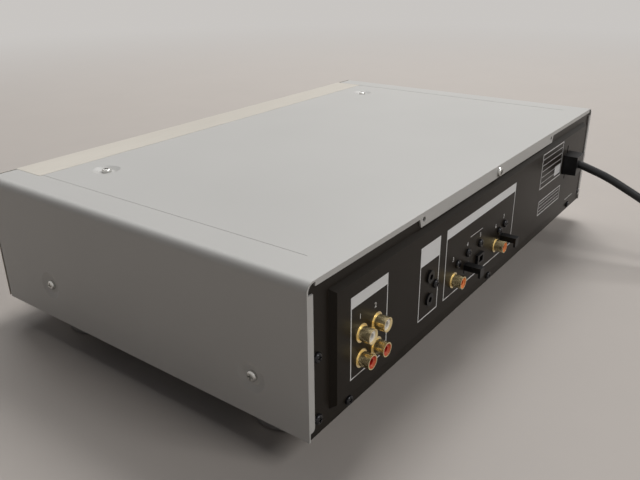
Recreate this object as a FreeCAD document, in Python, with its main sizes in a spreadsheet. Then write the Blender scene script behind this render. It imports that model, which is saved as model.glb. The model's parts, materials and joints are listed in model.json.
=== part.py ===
import FreeCAD, Part

import math
import os

import Sketcher

# Minidisc deck.
# Frame: x runs to the right as seen from the front, y to the rear, z up, in millimetres.
# The origin is under the middle of the case, on the surface that the feet stand on.

Vector = FreeCAD.Vector
Rotation = FreeCAD.Rotation
Placement = FreeCAD.Placement

# Driving sizes
SIZES = {
    # Case
    "case_width": 430.0,
    "case_depth": 269.0,
    "body_height": 87.7,
    "foot_height": 19.3,
    # Top cover
    "cover_sheet": 1.0,
    "cover_corner": 5.0,
    "cover_fit": 0.4,
    "tongue_width": 22.2,
    "tongue_step": 26.4,
    "tongue_back": 4.3,
    "cap_gap": 0.3,
    "bead_inset": 24.0,
    "bead_width": 1.6,
    "bead_depth": 0.12,
    "bead_rear": 18.5,
    "side_flange": 4.6,
    "top_flange": 3.2,
    "tab_height": 8.6,
    "tab_width": 222.0,
    "tab_slope": 2.0,
    "tab_hole_spacing": 212.0,
    "tab_hole_drop": 4.5,
    "tab_hole": 3.2,
    "corner_relief": 6.5,
    "flange_lift": 5.0,
    "flange_round": 2.0,
    "screw_drop": 63.3,
    "screw_front_inset": 58.3,
    "screw_rear_inset": 37.0,
    "top_screw_inset": 56.5,
    "top_screw_front": 55.5,
    "dimple_width": 18.5,
    "dimple_floor": 11.0,
    "dimple_depth": 1.6,
    # Screws
    "screw_shank": 3.0,
    "screw_head": 6.4,
    "screw_head_high": 2.2,
    "screw_length": 6.0,
    "screw_fit": 0.1,
    "black_head": 5.6,
    "black_head_high": 2.0,
    # Rear panel
    "rear_sheet": 1.0,
    "raised_height": 3.5,
    "raised_inset": 20.0,
    "raised_slope": 2.2,
    "raised_top_drop": 12.0,
    "raised_bottom_lift": 11.7,
    "border_screw_inset": 8.0,
    "border_screw_low": 9.7,
    "border_screw_high": 45.7,
    "bottom_screw_lift": 4.6,
    "bottom_screw_inset": 35.0,
    "slit_width": 2.0,
    "slit_length": 6.4,
    "panel_fit": 0.2,
    # Chassis
    "chassis_sheet": 1.2,
    "chassis_wall": 34.0,
    "chassis_bend": 2.0,
    "chassis_ear": 13.0,
    "chassis_ear_height": 50.7,
    "chassis_rear_lip": 10.7,
    "chassis_front_lip": 12.0,
    # Front
    "face_thick": 2.8,
    "face_lift": 0.5,
    "face_round": 2.4,
    "cap_thick": 2.5,
    "frame_thick": 2.5,
    "frame_skirt": 12.0,
    "skirt_thick": 2.0,
    "frame_split": -40.0,
    "arm_pad": 12.0,
    "arm_pad_thick": 3.0,
    "slot_offset": -95.0,
    "slot_drop": 25.0,
    "slot_width": 73.0,
    "slot_height": 7.0,
    "display_offset": 52.0,
    "display_drop": 27.0,
    "display_width": 120.0,
    "display_height": 28.0,
    "window_lip": 2.0,
    "window_lip_thick": 1.2,
    "window_fit": 0.15,
    "tube_width": 108.0,
    "tube_height": 22.0,
    "tube_thick": 7.0,
    "board_setback": 15.5,
    "board_thick": 1.6,
    "board_margin": 6.0,
    "board_top_drop": 9.0,
    "board_side": 8.0,
    "board_split": -34.0,
    "power_board": 36.0,
    # Buttons
    "button_fit": 0.35,
    "button_proud": 1.8,
    "button_travel": 0.8,
    "button_flange": 1.2,
    "button_flange_thick": 1.0,
    "button_corner": 1.0,
    "flange_gap": 0.3,
    "button_stem": 3.0,
    "switch_body": 6.0,
    "switch_high": 4.0,
    "key_width": 22.0,
    "key_height": 10.0,
    "key_pitch": 28.0,
    "key_start": 8.0,
    "key_drop": 64.0,
    "eject_width": 14.0,
    "eject_height": 8.0,
    "eject_offset": -24.0,
    "power_width": 18.0,
    "power_height": 9.0,
    "power_inset": 27.0,
    # Knobs
    "jog_radius": 18.0,
    "jog_length": 13.6,
    "jog_inset": 66.0,
    "level_radius": 12.0,
    "level_length": 11.6,
    "level_inset": 24.0,
    "knob_drop": 50.0,
    "knob_gap": 0.4,
    "knob_round": 0.8,
    "mark_width": 1.6,
    "mark_depth": 0.6,
    "spindle_radius": 3.0,
    "spindle_short": 1.0,
    "running_fit": 0.05,
    "encoder_size": 14.0,
    "encoder_depth": 9.0,
    # Timer switch and headphone socket
    "timer_drop": 46.0,
    "timer_travel": 4.0,
    "timer_lever": 3.0,
    "timer_proud": 2.0,
    "timer_cover": 9.0,
    "timer_block": 8.5,
    "phones_drop": 68.0,
    "phones_bore": 6.4,
    "phones_bush": 10.0,
    "phones_proud": 1.6,
    "phones_body": 14.0,
    "phones_depth": 24.0,
    "phones_bore_depth": 22.0,
    # Rear sockets
    "pin_shell": 8.3,
    "pin_bore": 7.0,
    "pin_reach": 8.0,
    "pin_flange": 10.5,
    "pin_flange_thick": 1.2,
    "pin_seat": 4.0,
    "pin_contact": 3.4,
    "insert_recess": 1.0,
    "contact_depth": 8.0,
    "line_inset": 47.5,
    "line_pitch_x": 14.4,
    "line_pitch_z": 15.1,
    "line_drop": 50.65,
    "housing_depth": 14.0,
    "housing_margin": 8.0,
    "ear_margin": 3.0,
    "ear_depth": 6.0,
    "control_inset": 115.2,
    "control_drop": 49.85,
    "control_bore": 3.6,
    "control_rim": 8.0,
    "control_proud": 1.3,
    "control_body": 11.5,
    "control_depth": 14.0,
    "control_screw_side": 7.3,
    "digital_inset": 146.7,
    "digital_pitch": 66.9,
    "digital_drop": 57.5,
    "coax_body": 12.0,
    "coax_rise": 7.0,
    "coax_ear_low": 5.5,
    "coax_screw_side": 6.4,
    "coax_screw_rise": 8.5,
    "optical_body": 9.4,
    "optical_rise": 5.2,
    "optical_snout": 8.4,
    "optical_screw_rise": 11.0,
    "optical_screw_side_1": 0.8,
    "optical_screw_side_2": 0.0,
    "optical_screw_side_3": 2.2,
    "optical_port": 6.2,
    "optical_port_depth": 6.5,
    "optical_inset_1": 167.2,
    "optical_inset_2": 187.0,
    "optical_inset_3": 227.3,
    "open_snout_width": 10.0,
    "open_snout_height": 7.0,
    "open_snout_proud": 2.0,
    "open_port_width": 5.4,
    "open_port_height": 4.2,
    "cap_width": 6.0,
    "cap_body": 3.8,
    "cap_plug": 5.6,
    "cap_plug_length": 5.0,
    "cap_lip": 6.7,
    "cap_lip_thick": 1.5,
    "cap_reach": 11.5,
    "cap_clear": 0.3,
    # Mains lead
    "relief_inset": 362.5,
    "relief_drop": 34.25,
    "relief_width": 18.0,
    "relief_height": 16.5,
    "relief_reach": 11.5,
    "relief_inside": 12.0,
    "relief_taper": 0.8,
    "relief_neck": 4.0,
    "relief_barb": 1.0,
    "cord_seat": 4.0,
    "cord_rise": 1.25,
    "cord_width": 6.5,
    "turn_pitch": 7.2,
    "layer_pitch": 7.0,
    "coil_inner": 26.0,
    "coil_turns": 6.0,
    "coil_inward": 3.25,
    "coil_climb": 0.5,
    "plug_width": 35.3,
    "plug_thick": 13.7,
    "plug_length": 36.0,
    "plug_back": 14.0,
    "plug_grip": 9.0,
    "plug_flare": 14.0,
    "plug_pin_seat": 6.0,
    "plug_pin": 4.0,
    "plug_pin_length": 19.0,
    "plug_pin_spacing": 18.6,
    # Power supply and main board
    "core_width": 60.0,
    "core_depth": 32.0,
    "core_height": 50.0,
    "core_limb": 10.0,
    "core_inset": 38.0,
    "core_rear": 64.0,
    "coil_margin": 1.0,
    "coil_swell": 9.0,
    "main_board_width": 336.0,
    "main_board_depth": 156.0,
    "main_board_inset": 9.0,
    "main_board_rear": 5.5,
    "main_board_height": 20.1,
    "post_radius": 4.0,
    "post_inset": 8.0,
    "post_mid": 168.0,
    "capacitor_radius": 11.0,
    "capacitor_height": 35.0,
    "capacitor_pitch": 26.0,
    "capacitor_inset": 30.0,
    "small_capacitor_radius": 5.0,
    "small_capacitor_height": 16.0,
    "small_capacitor_pitch": 15.0,
    "small_capacitor_rear": 26.0,
    # Disc mechanism
    "disc_case": 72.0,
    "disc_case_depth": 68.0,
    "disc_case_thick": 5.0,
    "disc_drop": 5.0,
    "holder_setback": 16.0,
    "holder_spare": 2.0,
    "holder_sheet": 1.0,
    "holder_fit": 0.4,
    "holder_lip": 3.0,
    "holder_pin": 2.5,
    "holder_pin_pitch": 44.0,
    "window_margin": 4.0,
    "window_run": 8.0,
    "pin_clear": 0.3,
    "wall_gap": 1.0,
    "wall_inset": 0.5,
    "wall_leg": 7.5,
    "base_wall": 1.2,
    "base_thick": 2.0,
    "base_drop": 18.0,
    "base_left": 74.0,
    "base_right": 72.0,
    "base_front": 32.5,
    "base_rear": 45.5,
    "bracket_sheet": 1.5,
    "bracket_foot": 10.0,
    "bracket_flange": 8.0,
    "spindle_motor_radius": 13.0,
    "spindle_motor_height": 8.0,
    "spindle_boss": 4.0,
    "boss_proud": 2.0,
    "spindle_shaft": 1.0,
    "spindle_shaft_proud": 7.0,
    "turntable_radius": 7.5,
    "turntable_height": 9.0,
    "turntable_rim": 0.8,
    "turntable_hub": 3.4,
    "rod_radius": 1.5,
    "rod_spread": 18.0,
    "rod_lift": 4.0,
    "rod_post": 6.0,
    "rod_left": 2.0,
    "rod_right": 48.0,
    "sled_length": 16.0,
    "sled_start": 8.7,
    "sled_thick": 6.0,
    "sled_gap": 1.0,
    "sled_margin": 4.0,
    "neck_width": 12.0,
    "riser_gap": 1.5,
    "riser_thick": 4.0,
    "fork_depth": 2.4,
    "lens_radius": 2.0,
    "lens_proud": 2.0,
    "lead_offset": 27.0,
    "lead_radius": 1.5,
    "lead_thread": 0.4,
    "sled_motor_radius": 5.8,
    "sled_motor_length": 12.0,
    "slider_gap": 0.9,
    "slider_thick": 1.5,
    "slider_travel": 12.0,
    "slider_flange": 5.0,
    "slider_lift": 2.0,
    "slider_margin": 1.5,
    "stud_radius": 1.2,
    "stud_proud": 0.6,
    "stud_lift": 7.0,
    "stud_front": 22.5,
    "stud_rear": 17.5,
    "gear_teeth": 16.0,
    "gear_module": 1.0,
    "gear_thick": 2.5,
    "gear_lift": 2.0,
    "gear_hub": 3.0,
    "shaft_radius": 1.5,
    "arm_rise": 4.1,
    "arm_width": 8.0,
    "arm_thick": 1.6,
    "arm_pin": 1.2,
    "head_radius": 3.0,
    "head_drop": 1.2,
    "loading_body": 18.0,
    "loading_height": 12.0,
    # Flap
    "flap_thick": 1.5,
    "flap_overlap": 0.8,
    "flap_pin": 1.0,
    "flap_pin_reach": 3.0,
    "flap_gap": 0.3,
    "flap_setback": 1.6,
    "flap_rise": 1.7,
    "flap_head": 1.6,
    "flap_bearing": 4.0,
    "flap_boss": 2.2,
    # Feet
    "foot_radius": 19.0,
    "foot_top_radius": 22.0,
    "foot_floor": 3.0,
    "foot_well": 6.0,
    "foot_inset": 33.0,
    "foot_front": 54.4,
    "foot_rear": 41.2,
    "pad_thick": 2.0,
    "pad_proud": 1.0,
    "pad_outer": 16.5,
    "pad_inner": 8.0,
}

# Shares of a piece's own size
HEAD_ROUNDING = 0.6
CROSS_DEPTH = 0.5
CROSS_REACH = 0.28
CROSS_HALF_WIDTH = 0.07
FACE_ROUNDING = 0.9
SLOT_ROUNDING = 0.9
DIMPLE_PLACE = 0.6
DIMPLE_RADIUS = 0.24
POINTER_START = 0.4
POINTER_END = 0.85
BEND_REACH = 0.45

# Gear and rack teeth: heights in modules, half widths as shares of a tooth's pitch
TOOTH_TIP = 1.0
TOOTH_ROOT = 1.25
RACK_TIP_WIDTH = 0.09
RACK_ROOT_WIDTH = 0.32
GEAR_TIP_WIDTH = 0.07
GEAR_MIDDLE_WIDTH = 0.17
GEAR_ROOT_WIDTH = 0.3
RACK_SPARE_TEETH = 5

# Numbers of like pieces
LARGE_CAPACITORS = 2
SMALL_CAPACITORS = 6
ARCS_PER_TURN = 4


class Size:
    """A length that also holds the sheet expression it comes from."""

    def __init__(self, value, text):
        self.value = float(value)
        self.text = text

    def __float__(self):
        return self.value

    def __neg__(self):
        return Size(-self.value, "(0 - %s)" % self.text)

    def __add__(self, other):
        return combine(self, "+", other)

    def __radd__(self, other):
        return combine(other, "+", self)

    def __sub__(self, other):
        return combine(self, "-", other)

    def __rsub__(self, other):
        return combine(other, "-", self)

    def __mul__(self, other):
        return combine(self, "*", other)

    def __rmul__(self, other):
        return combine(other, "*", self)

    def __truediv__(self, other):
        return combine(self, "/", other)


def as_size(value):
    """The value itself if it is a Size, else a Size that holds a plain number."""
    if isinstance(value, Size):
        return value
    return Size(value, repr(float(value)))


def combine(first, sign, second):
    """The Size that two Sizes give, worked out both as a number and as an expression."""
    first = as_size(first)
    second = as_size(second)
    results = {
        "+": lambda: first.value + second.value,
        "-": lambda: first.value - second.value,
        "*": lambda: first.value * second.value,
        "/": lambda: first.value / second.value,
    }
    return Size(results[sign](), "(%s %s %s)" % (first.text, sign, second.text))


def smaller(first, second):
    """The smaller of two Sizes."""
    first = as_size(first)
    second = as_size(second)
    return Size(min(first.value, second.value), "min(%s; %s)" % (first.text, second.text))


class Sheet:
    """The sheet's cells as attributes, each one a Size."""

    def __init__(self, sheet):
        for name in SIZES:
            setattr(self, name, Size(getattr(sheet, name), "Sizes." + name))


def make_sheet():
    """Write the driving sizes into a spreadsheet, one aliased cell each."""
    sheet = doc.addObject("Spreadsheet::Sheet", "Sizes")
    for row, (name, value) in enumerate(SIZES.items(), start=1):
        sheet.set("A%d" % row, name)
        sheet.set("B%d" % row, repr(value))
        sheet.setAlias("B%d" % row, name)
    doc.recompute()
    return Sheet(sheet)


doc = FreeCAD.newDocument("MinidiscDeck")
size = make_sheet()
nodes = []

# Turns that carry a piece's own z axis to another direction
TO_REAR = Rotation(Vector(1, 0, 0), -90)
TO_FRONT = Rotation(Vector(1, 0, 0), 90)
TO_RIGHT = Rotation(Vector(0, 1, 0), 90)
TO_LEFT = Rotation(Vector(0, 1, 0), -90)
UPWARD = Rotation()
DOWNWARD = Rotation(Vector(1, 0, 0), 180)


def bind(thing, path, value):
    """Tie a property of an object to the sheet."""
    thing.setExpression(path, as_size(value).text)


def place(thing, spot, turn=UPWARD):
    """Put an object at a spot whose coordinates are tied to the sheet."""
    x, y, z = spot
    thing.Placement = Placement(Vector(float(x), float(y), float(z)), turn)
    bind(thing, "Placement.Base.x", x)
    bind(thing, "Placement.Base.y", y)
    bind(thing, "Placement.Base.z", z)
    return thing


def about(middle, width):
    """The two ends of a width about its middle."""
    return (middle - width / 2, middle + width / 2)


def box(name, x, y, z):
    """A block between the low and high ends given for x, y and z."""
    piece = doc.addObject("Part::Box", name)
    bind(piece, "Length", x[1] - x[0])
    bind(piece, "Width", y[1] - y[0])
    bind(piece, "Height", z[1] - z[0])
    return place(piece, (x[0], y[0], z[0]))


def rod(name, radius, length, spot, turn=UPWARD):
    """A cylinder that starts at the spot and runs along its turned z axis."""
    piece = doc.addObject("Part::Cylinder", name)
    bind(piece, "Radius", radius)
    bind(piece, "Height", length)
    return place(piece, spot, turn)


def cone(name, radius, end_radius, length, spot, turn=UPWARD):
    """A truncated cone that starts at the spot."""
    piece = doc.addObject("Part::Cone", name)
    bind(piece, "Radius1", radius)
    bind(piece, "Radius2", end_radius)
    bind(piece, "Height", length)
    return place(piece, spot, turn)


def tapered_block(name, near, far, y):
    """A block whose x and z ends change from near, at y[0], to far, at y[1]."""
    piece = doc.addObject("Part::Wedge", name)
    ends = (("Xmin", near[0][0]), ("Xmax", near[0][1]), ("Zmin", near[1][0]), ("Zmax", near[1][1]),
            ("X2min", far[0][0]), ("X2max", far[0][1]), ("Z2min", far[1][0]), ("Z2max", far[1][1]),
            ("Ymin", y[0]), ("Ymax", y[1]))
    for path, value in ends:
        setattr(piece, path, float(value))
        bind(piece, path, value)
    return piece


def group(name, pieces):
    """Separate solids that share one node."""
    compound = doc.addObject("Part::Compound", name)
    compound.Links = pieces
    return compound


def joined(name, pieces):
    """Solids made into one."""
    fuse = doc.addObject("Part::MultiFuse", name)
    fuse.Shapes = pieces
    fuse.Refine = True
    return fuse


def cut(name, base, tools):
    """The base without the tools."""
    piece = doc.addObject("Part::Cut", name)
    piece.Base = base
    piece.Tool = tools[0] if len(tools) == 1 else joined(name + "_tools", tools)
    piece.Refine = True
    return piece


def keep(piece):
    """Keep a finished piece for the export."""
    nodes.append(piece)
    return piece


def sketch_across(body, axis, at, name):
    """A sketch in the body, square to an axis and moved along it."""
    role = {"x": "YZ_Plane", "y": "XZ_Plane", "z": "XY_Plane"}[axis]
    plane = next(part for part in body.Origin.OriginFeatures if part.Role == role)
    sketch = body.newObject("Sketcher::SketchObject", name)
    sketch.AttachmentSupport = (plane, "")
    sketch.MapMode = "FlatFace"
    offset = -at if axis == "y" else as_size(at)
    bind(sketch, "AttachmentOffset.Base.z", offset)
    return sketch


def datum(sketch, kind, geometry, point, value):
    """A dimension from the sketch's origin, tied to the sheet."""
    number = sketch.addConstraint(Sketcher.Constraint(kind, -1, 1, geometry, point, float(value)))
    bind(sketch, "Constraints[%d]" % number, value)


def hold_point(sketch, geometry, point, spot):
    """Fix one end or centre of a line or arc."""
    datum(sketch, "DistanceX", geometry, point, spot[0])
    datum(sketch, "DistanceY", geometry, point, spot[1])


def flat(spot):
    """A sketch spot as a plain vector."""
    return Vector(float(spot[0]), float(spot[1]), 0)


def toward(corner, other, radius):
    """The spot one radius from a square corner, along the side that leads to another corner."""
    across = float(other[0]) - float(corner[0])
    up = float(other[1]) - float(corner[1])
    if abs(across) > abs(up):
        return (corner[0] + math.copysign(1, across) * radius, corner[1])
    return (corner[0], corner[1] + math.copysign(1, up) * radius)


def outline(sketch, corners):
    """A closed outline, drawn in order; a corner with a third value is rounded by that radius."""
    count = len(corners)
    stops = []
    for index, corner in enumerate(corners):
        if len(corner) == 2:
            stops.append((corner, corner))
            continue
        before = corners[index - 1]
        after = corners[(index + 1) % count]
        stops.append((toward(corner, before, corner[2]), toward(corner, after, corner[2])))
    sides = []
    for index in range(count):
        start = stops[index][1]
        end = stops[(index + 1) % count][0]
        side = sketch.addGeometry(Part.LineSegment(flat(start), flat(end)), False)
        sides.append(side)
        hold_point(sketch, side, 1, start)
        if len(corners[(index + 1) % count]) == 3:
            hold_point(sketch, side, 2, end)
    for index, corner in enumerate(corners):
        side_in = sides[index - 1]
        side_out = sides[index]
        if len(corner) == 2:
            sketch.addConstraint(Sketcher.Constraint("Coincident", side_in, 2, side_out, 1))
            continue
        start = flat(stops[index][0])
        end = flat(stops[index][1])
        middle = start + end - flat(corner)
        first = math.atan2(start.y - middle.y, start.x - middle.x)
        last = math.atan2(end.y - middle.y, end.x - middle.x)
        left_turn = (flat(corner) - start).cross(end - flat(corner)).z > 0
        ring = Part.Circle(middle, Vector(0, 0, 1), float(corner[2]))
        if left_turn:
            arc = Part.ArcOfCircle(ring, first, last)
        else:
            arc = Part.ArcOfCircle(ring, last, first)
        bend = sketch.addGeometry(arc, False)
        enter, leave = (1, 2) if left_turn else (2, 1)
        sketch.addConstraint(Sketcher.Constraint("Coincident", side_in, 2, bend, enter))
        sketch.addConstraint(Sketcher.Constraint("Coincident", side_out, 1, bend, leave))
        number = sketch.addConstraint(Sketcher.Constraint("Radius", bend, float(corner[2])))
        bind(sketch, "Constraints[%d]" % number, corner[2])


def rectangle(sketch, x, y, radius=None):
    """A rectangle between the low and high ends given, with rounded corners if it has a radius."""
    corners = [(x[0], y[0]), (x[1], y[0]), (x[1], y[1]), (x[0], y[1])]
    if radius is not None:
        corners = [corner + (radius,) for corner in corners]
    outline(sketch, corners)


def circle(sketch, spot, radius):
    """A circle in a sketch."""
    ring = sketch.addGeometry(Part.Circle(flat(spot), Vector(0, 0, 1), float(radius)), False)
    hold_point(sketch, ring, 3, spot)
    number = sketch.addConstraint(Sketcher.Constraint("Radius", ring, float(radius)))
    bind(sketch, "Constraints[%d]" % number, radius)


def faces_up(sketch):
    """1 if the sketch's own direction is along its axis, -1 if it is against it."""
    return -1 if sketch.AttachmentSupport[0][0].Role == "XZ_Plane" else 1


def pad(body, sketch, length, way, name):
    """Add the sketch's area over a length, along its axis for way 1 and against it for -1."""
    feature = body.newObject("PartDesign::Pad", name)
    feature.Profile = sketch
    bind(feature, "Length", length)
    feature.Reversed = faces_up(sketch) * way < 0
    return feature


def pocket(body, sketch, length, way, name):
    """Cut the sketch's area away over a length."""
    feature = body.newObject("PartDesign::Pocket", name)
    feature.Profile = sketch
    bind(feature, "Length", length)
    feature.Reversed = faces_up(sketch) * way > 0
    return feature


def new_body(name):
    """An empty body."""
    return doc.addObject("PartDesign::Body", name)


def turned(name, corners):
    """A body turned about its own z axis from corners given as radius and height."""
    body = new_body(name)
    sketch = sketch_across(body, "y", as_size(0), name + "_profile")
    outline(sketch, corners)
    feature = body.newObject("PartDesign::Revolution", name + "_turn")
    feature.Profile = sketch
    feature.ReferenceAxis = (sketch, ["V_Axis"])
    feature.Angle = 360
    return body


def copies(name, original, spots):
    """Copies of one body, each at its own spot and turn, as the solids of one node."""
    links = []
    for spot, turn in spots:
        link = doc.addObject("App::Link", name + "_copy")
        link.LinkedObject = original
        place(link, spot, turn)
        links.append(link)
    return group(name, links)


def screw(name, head, head_high):
    """A cross-head pan screw whose head stands on the seat at its own origin."""
    head_radius = head / 2
    shank = size.screw_shank / 2
    body = turned(name, [
        (0, -size.screw_length),
        (shank, -size.screw_length),
        (shank, 0),
        (head_radius, 0),
        (head_radius, head_high, head_high * HEAD_ROUNDING),
        (0, head_high),
    ])
    sketch = sketch_across(body, "z", head_high, name + "_cross")
    arm = head * CROSS_REACH
    half = head * CROSS_HALF_WIDTH
    outline(sketch, [
        (half, half), (half, arm), (-half, arm), (-half, half), (-arm, half), (-arm, -half),
        (-half, -half), (-half, -arm), (half, -arm), (half, -half), (arm, -half), (arm, half),
    ])
    pocket(body, sketch, head_high * CROSS_DEPTH, -1, name + "_recess")
    return body


# Planes and lines that several pieces share

right = size.case_width / 2
left = -right
front = -(size.case_depth / 2)
rear = size.case_depth / 2
floor = size.foot_height
top = floor + size.body_height

cover_inner = right - size.cover_sheet
cover_under = top - size.cover_sheet
tongue_front = front + size.tongue_back
middle_front = tongue_front + size.tongue_step
screw_hole = (size.screw_shank + size.screw_fit) / 2

chassis_half = cover_inner - size.dimple_depth
chassis_inner = chassis_half - size.chassis_sheet
chassis_floor = floor + size.chassis_sheet
wall_top = floor + size.chassis_wall
panel_half = cover_inner - size.cover_fit
panel_out = rear - size.cover_sheet
panel_in = panel_out - size.rear_sheet
raised_out = panel_out + size.raised_height
raised_in = raised_out - size.rear_sheet
tab_hole_z = top - size.tab_hole_drop

frame_front = front + size.face_thick
frame_back = frame_front + size.frame_thick
board_front = front + size.board_setback
board_back = board_front + size.board_thick
switch_front = board_front - size.switch_high
slot_z = top - size.slot_drop
key_z = top - size.key_drop
timer_z = top - size.timer_drop
phones_z = top - size.phones_drop
knob_z = top - size.knob_drop
display_z = top - size.display_drop
flap_pivot_y = frame_front + size.flap_setback
flap_pivot_z = slot_z + size.slot_height / 2 + size.flap_rise
left_x = left + size.power_inset
jog_x = right - size.jog_inset
level_x = right - size.level_inset
display_x = size.display_offset

line_x = right - size.line_inset
line_z = top - size.line_drop
control_x = right - size.control_inset
control_z = top - size.control_drop
digital_z = top - size.digital_drop
coax_xs = [right - size.digital_inset, right - size.digital_inset - size.digital_pitch]
optical_xs = [right - inset for inset in (size.optical_inset_1, size.optical_inset_2, size.optical_inset_3)]
relief_x = right - size.relief_inset
relief_z = top - size.relief_drop
board_top = chassis_floor + size.main_board_height

foot_spots = [(side * (right - size.foot_inset), y)
              for side in (-1, 1)
              for y in (front + size.foot_front, rear - size.foot_rear)]
side_screws = [(y, top - size.screw_drop)
               for y in (front + size.screw_front_inset, rear - size.screw_rear_inset)]
top_screws = [(side * (right - size.top_screw_inset), front + size.top_screw_front) for side in (-1, 1)]
border_screws = [(side * (right - size.border_screw_inset), floor + lift)
                 for side in (-1, 1)
                 for lift in (size.border_screw_low, size.border_screw_high)]
bottom_screws = [(x, floor + size.bottom_screw_lift)
                 for x in (size.bottom_screw_inset - right, as_size(0), right - size.bottom_screw_inset)]
line_spots = [(line_x + side * size.line_pitch_x / 2, line_z + level * size.line_pitch_z / 2)
              for level in (-1, 1)
              for side in (-1, 1)]
control_spots = [(control_x, control_z + level * size.line_pitch_z / 2) for level in (-1, 1)]
control_screw = (control_x - size.control_screw_side, control_z)
coax_screws = [(x - size.coax_screw_side, digital_z + size.coax_screw_rise) for x in coax_xs]
optical_snouts = [
    (size.optical_snout, size.optical_snout),
    (size.open_snout_width, size.open_snout_height),
    (size.optical_snout, size.optical_snout),
]
optical_sides = (size.optical_screw_side_1, size.optical_screw_side_2, size.optical_screw_side_3)
optical_screws = [(x - side, digital_z + size.optical_screw_rise)
                  for x, side in zip(optical_xs, optical_sides)]
jack_screws = [control_screw] + coax_screws + optical_screws


# Case

def make_top_cover():
    """The folded sheet that closes the sides and top, with two tongues beside the front cap."""
    sheet = size.cover_sheet
    body = new_body("cover_folded")
    section = sketch_across(body, "y", rear, "cover_section")
    inner_corner = size.cover_corner - sheet
    outline(section, [
        (right, floor),
        (right, top, size.cover_corner),
        (left, top, size.cover_corner),
        (left, floor),
        (left + sheet, floor),
        (left + sheet, cover_under, inner_corner),
        (cover_inner, cover_under, inner_corner),
        (cover_inner, floor),
    ])
    pad(body, section, rear - tongue_front, -1, "cover_sheet")
    between = right - size.tongue_width
    gap = sketch_across(body, "z", top, "cover_front_gap")
    rectangle(gap, (-between, between), (tongue_front - sheet, middle_front))
    pocket(body, gap, sheet * 2, -1, "cover_tongues")

    flanges = sketch_across(body, "y", rear, "cover_flange_outlines")
    edge = right - size.side_flange
    low = floor + size.flange_lift
    high = top - size.corner_relief
    for side in (-1, 1):
        outline(flanges, [
            (side * cover_inner, low),
            (side * edge, low, size.flange_round),
            (side * edge, high),
            (side * cover_inner, high),
        ])
    end = right - size.corner_relief
    tab = size.tab_width / 2
    shallow = top - size.top_flange
    deep = top - size.tab_height
    outline(flanges, [
        (-end, cover_under),
        (-end, shallow),
        (-tab, shallow),
        (size.tab_slope - tab, deep),
        (tab - size.tab_slope, deep),
        (tab, shallow),
        (end, shallow),
        (end, cover_under),
    ])
    pad(body, flanges, sheet, -1, "cover_flanges")
    holes = sketch_across(body, "y", rear, "cover_tab_holes")
    circle(holes, (0, tab_hole_z), screw_hole)
    for side in (-1, 1):
        circle(holes, (side * size.tab_hole_spacing / 2, tab_hole_z), size.tab_hole / 2)
    pocket(body, holes, sheet, -1, "cover_tab_drilling")
    beads = sketch_across(body, "z", top, "cover_bead_outlines")
    for side in (-1, 1):
        rectangle(beads, about(side * (right - size.bead_inset), size.bead_width),
                  (middle_front, rear - size.bead_rear))
    pocket(body, beads, size.bead_depth, -1, "cover_beads")

    cups = []
    dishes = []
    spots = [((side * right, y, z), TO_LEFT if side > 0 else TO_RIGHT, (side * cover_inner, y, z))
             for side in (-1, 1) for y, z in side_screws]
    spots += [((x, y, top), DOWNWARD, (x, y, cover_under)) for x, y in top_screws]
    for outer, turn, inner in spots:
        shape = (size.dimple_width / 2, size.dimple_floor / 2, size.dimple_depth)
        cups.append(cone("cover_cup", *shape, inner, turn))
        dishes.append(cone("cover_dish", *shape, outer, turn))
        dishes.append(rod("cover_screw_hole", screw_hole, size.dimple_depth + sheet, outer, turn))
    keep(cut("top_cover", joined("cover_with_cups", [body] + cups), dishes))


def make_bottom_chassis():
    """The tray under everything, with side walls, a rear lip with ears and a front lip."""
    sheet = size.chassis_sheet
    body = new_body("bottom_chassis")
    chassis_rear = panel_in
    section = sketch_across(body, "y", chassis_rear, "chassis_section")
    outline(section, [
        (chassis_half, floor, size.chassis_bend),
        (chassis_half, wall_top),
        (chassis_inner, wall_top),
        (chassis_inner, chassis_floor, size.chassis_bend - sheet),
        (-chassis_inner, chassis_floor, size.chassis_bend - sheet),
        (-chassis_inner, wall_top),
        (-chassis_half, wall_top),
        (-chassis_half, floor, size.chassis_bend),
    ])
    pad(body, section, chassis_rear - frame_back, -1, "chassis_tray")
    lips = sketch_across(body, "y", chassis_rear, "chassis_rear_outline")
    ear = chassis_inner - size.chassis_ear
    ear_top = floor + size.chassis_ear_height
    lip_top = floor + size.chassis_rear_lip
    start = chassis_floor
    outline(lips, [
        (-chassis_inner, start), (chassis_inner, start), (chassis_inner, ear_top), (ear, ear_top),
        (ear, lip_top), (-ear, lip_top), (-ear, ear_top), (-chassis_inner, ear_top),
    ])
    pad(body, lips, sheet, -1, "chassis_rear_lip")
    front_lip = sketch_across(body, "y", frame_back, "chassis_front_outline")
    rectangle(front_lip, (-chassis_inner, chassis_inner), (start, floor + size.chassis_front_lip))
    pad(body, front_lip, sheet, 1, "chassis_front_lip")
    rear_holes = sketch_across(body, "y", chassis_rear, "chassis_rear_holes")
    for spot in border_screws + bottom_screws:
        circle(rear_holes, spot, screw_hole)
    pocket(body, rear_holes, sheet, -1, "chassis_rear_drilling")
    foot_holes = sketch_across(body, "z", floor, "chassis_foot_holes")
    for spot in foot_spots:
        circle(foot_holes, spot, screw_hole)
    pocket(body, foot_holes, sheet, 1, "chassis_foot_drilling")
    wall_holes = sketch_across(body, "x", chassis_half, "chassis_wall_holes")
    for spot in side_screws:
        circle(wall_holes, spot, screw_hole)
    pocket(body, wall_holes, chassis_half * 2, -1, "chassis_wall_drilling")
    keep(body)


def panel_hole(spot, radius):
    """A round tool through both planes of the rear panel."""
    x, z = spot
    return rod("panel_hole", radius, raised_out - panel_in, (x, panel_in, z), TO_REAR)


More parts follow.
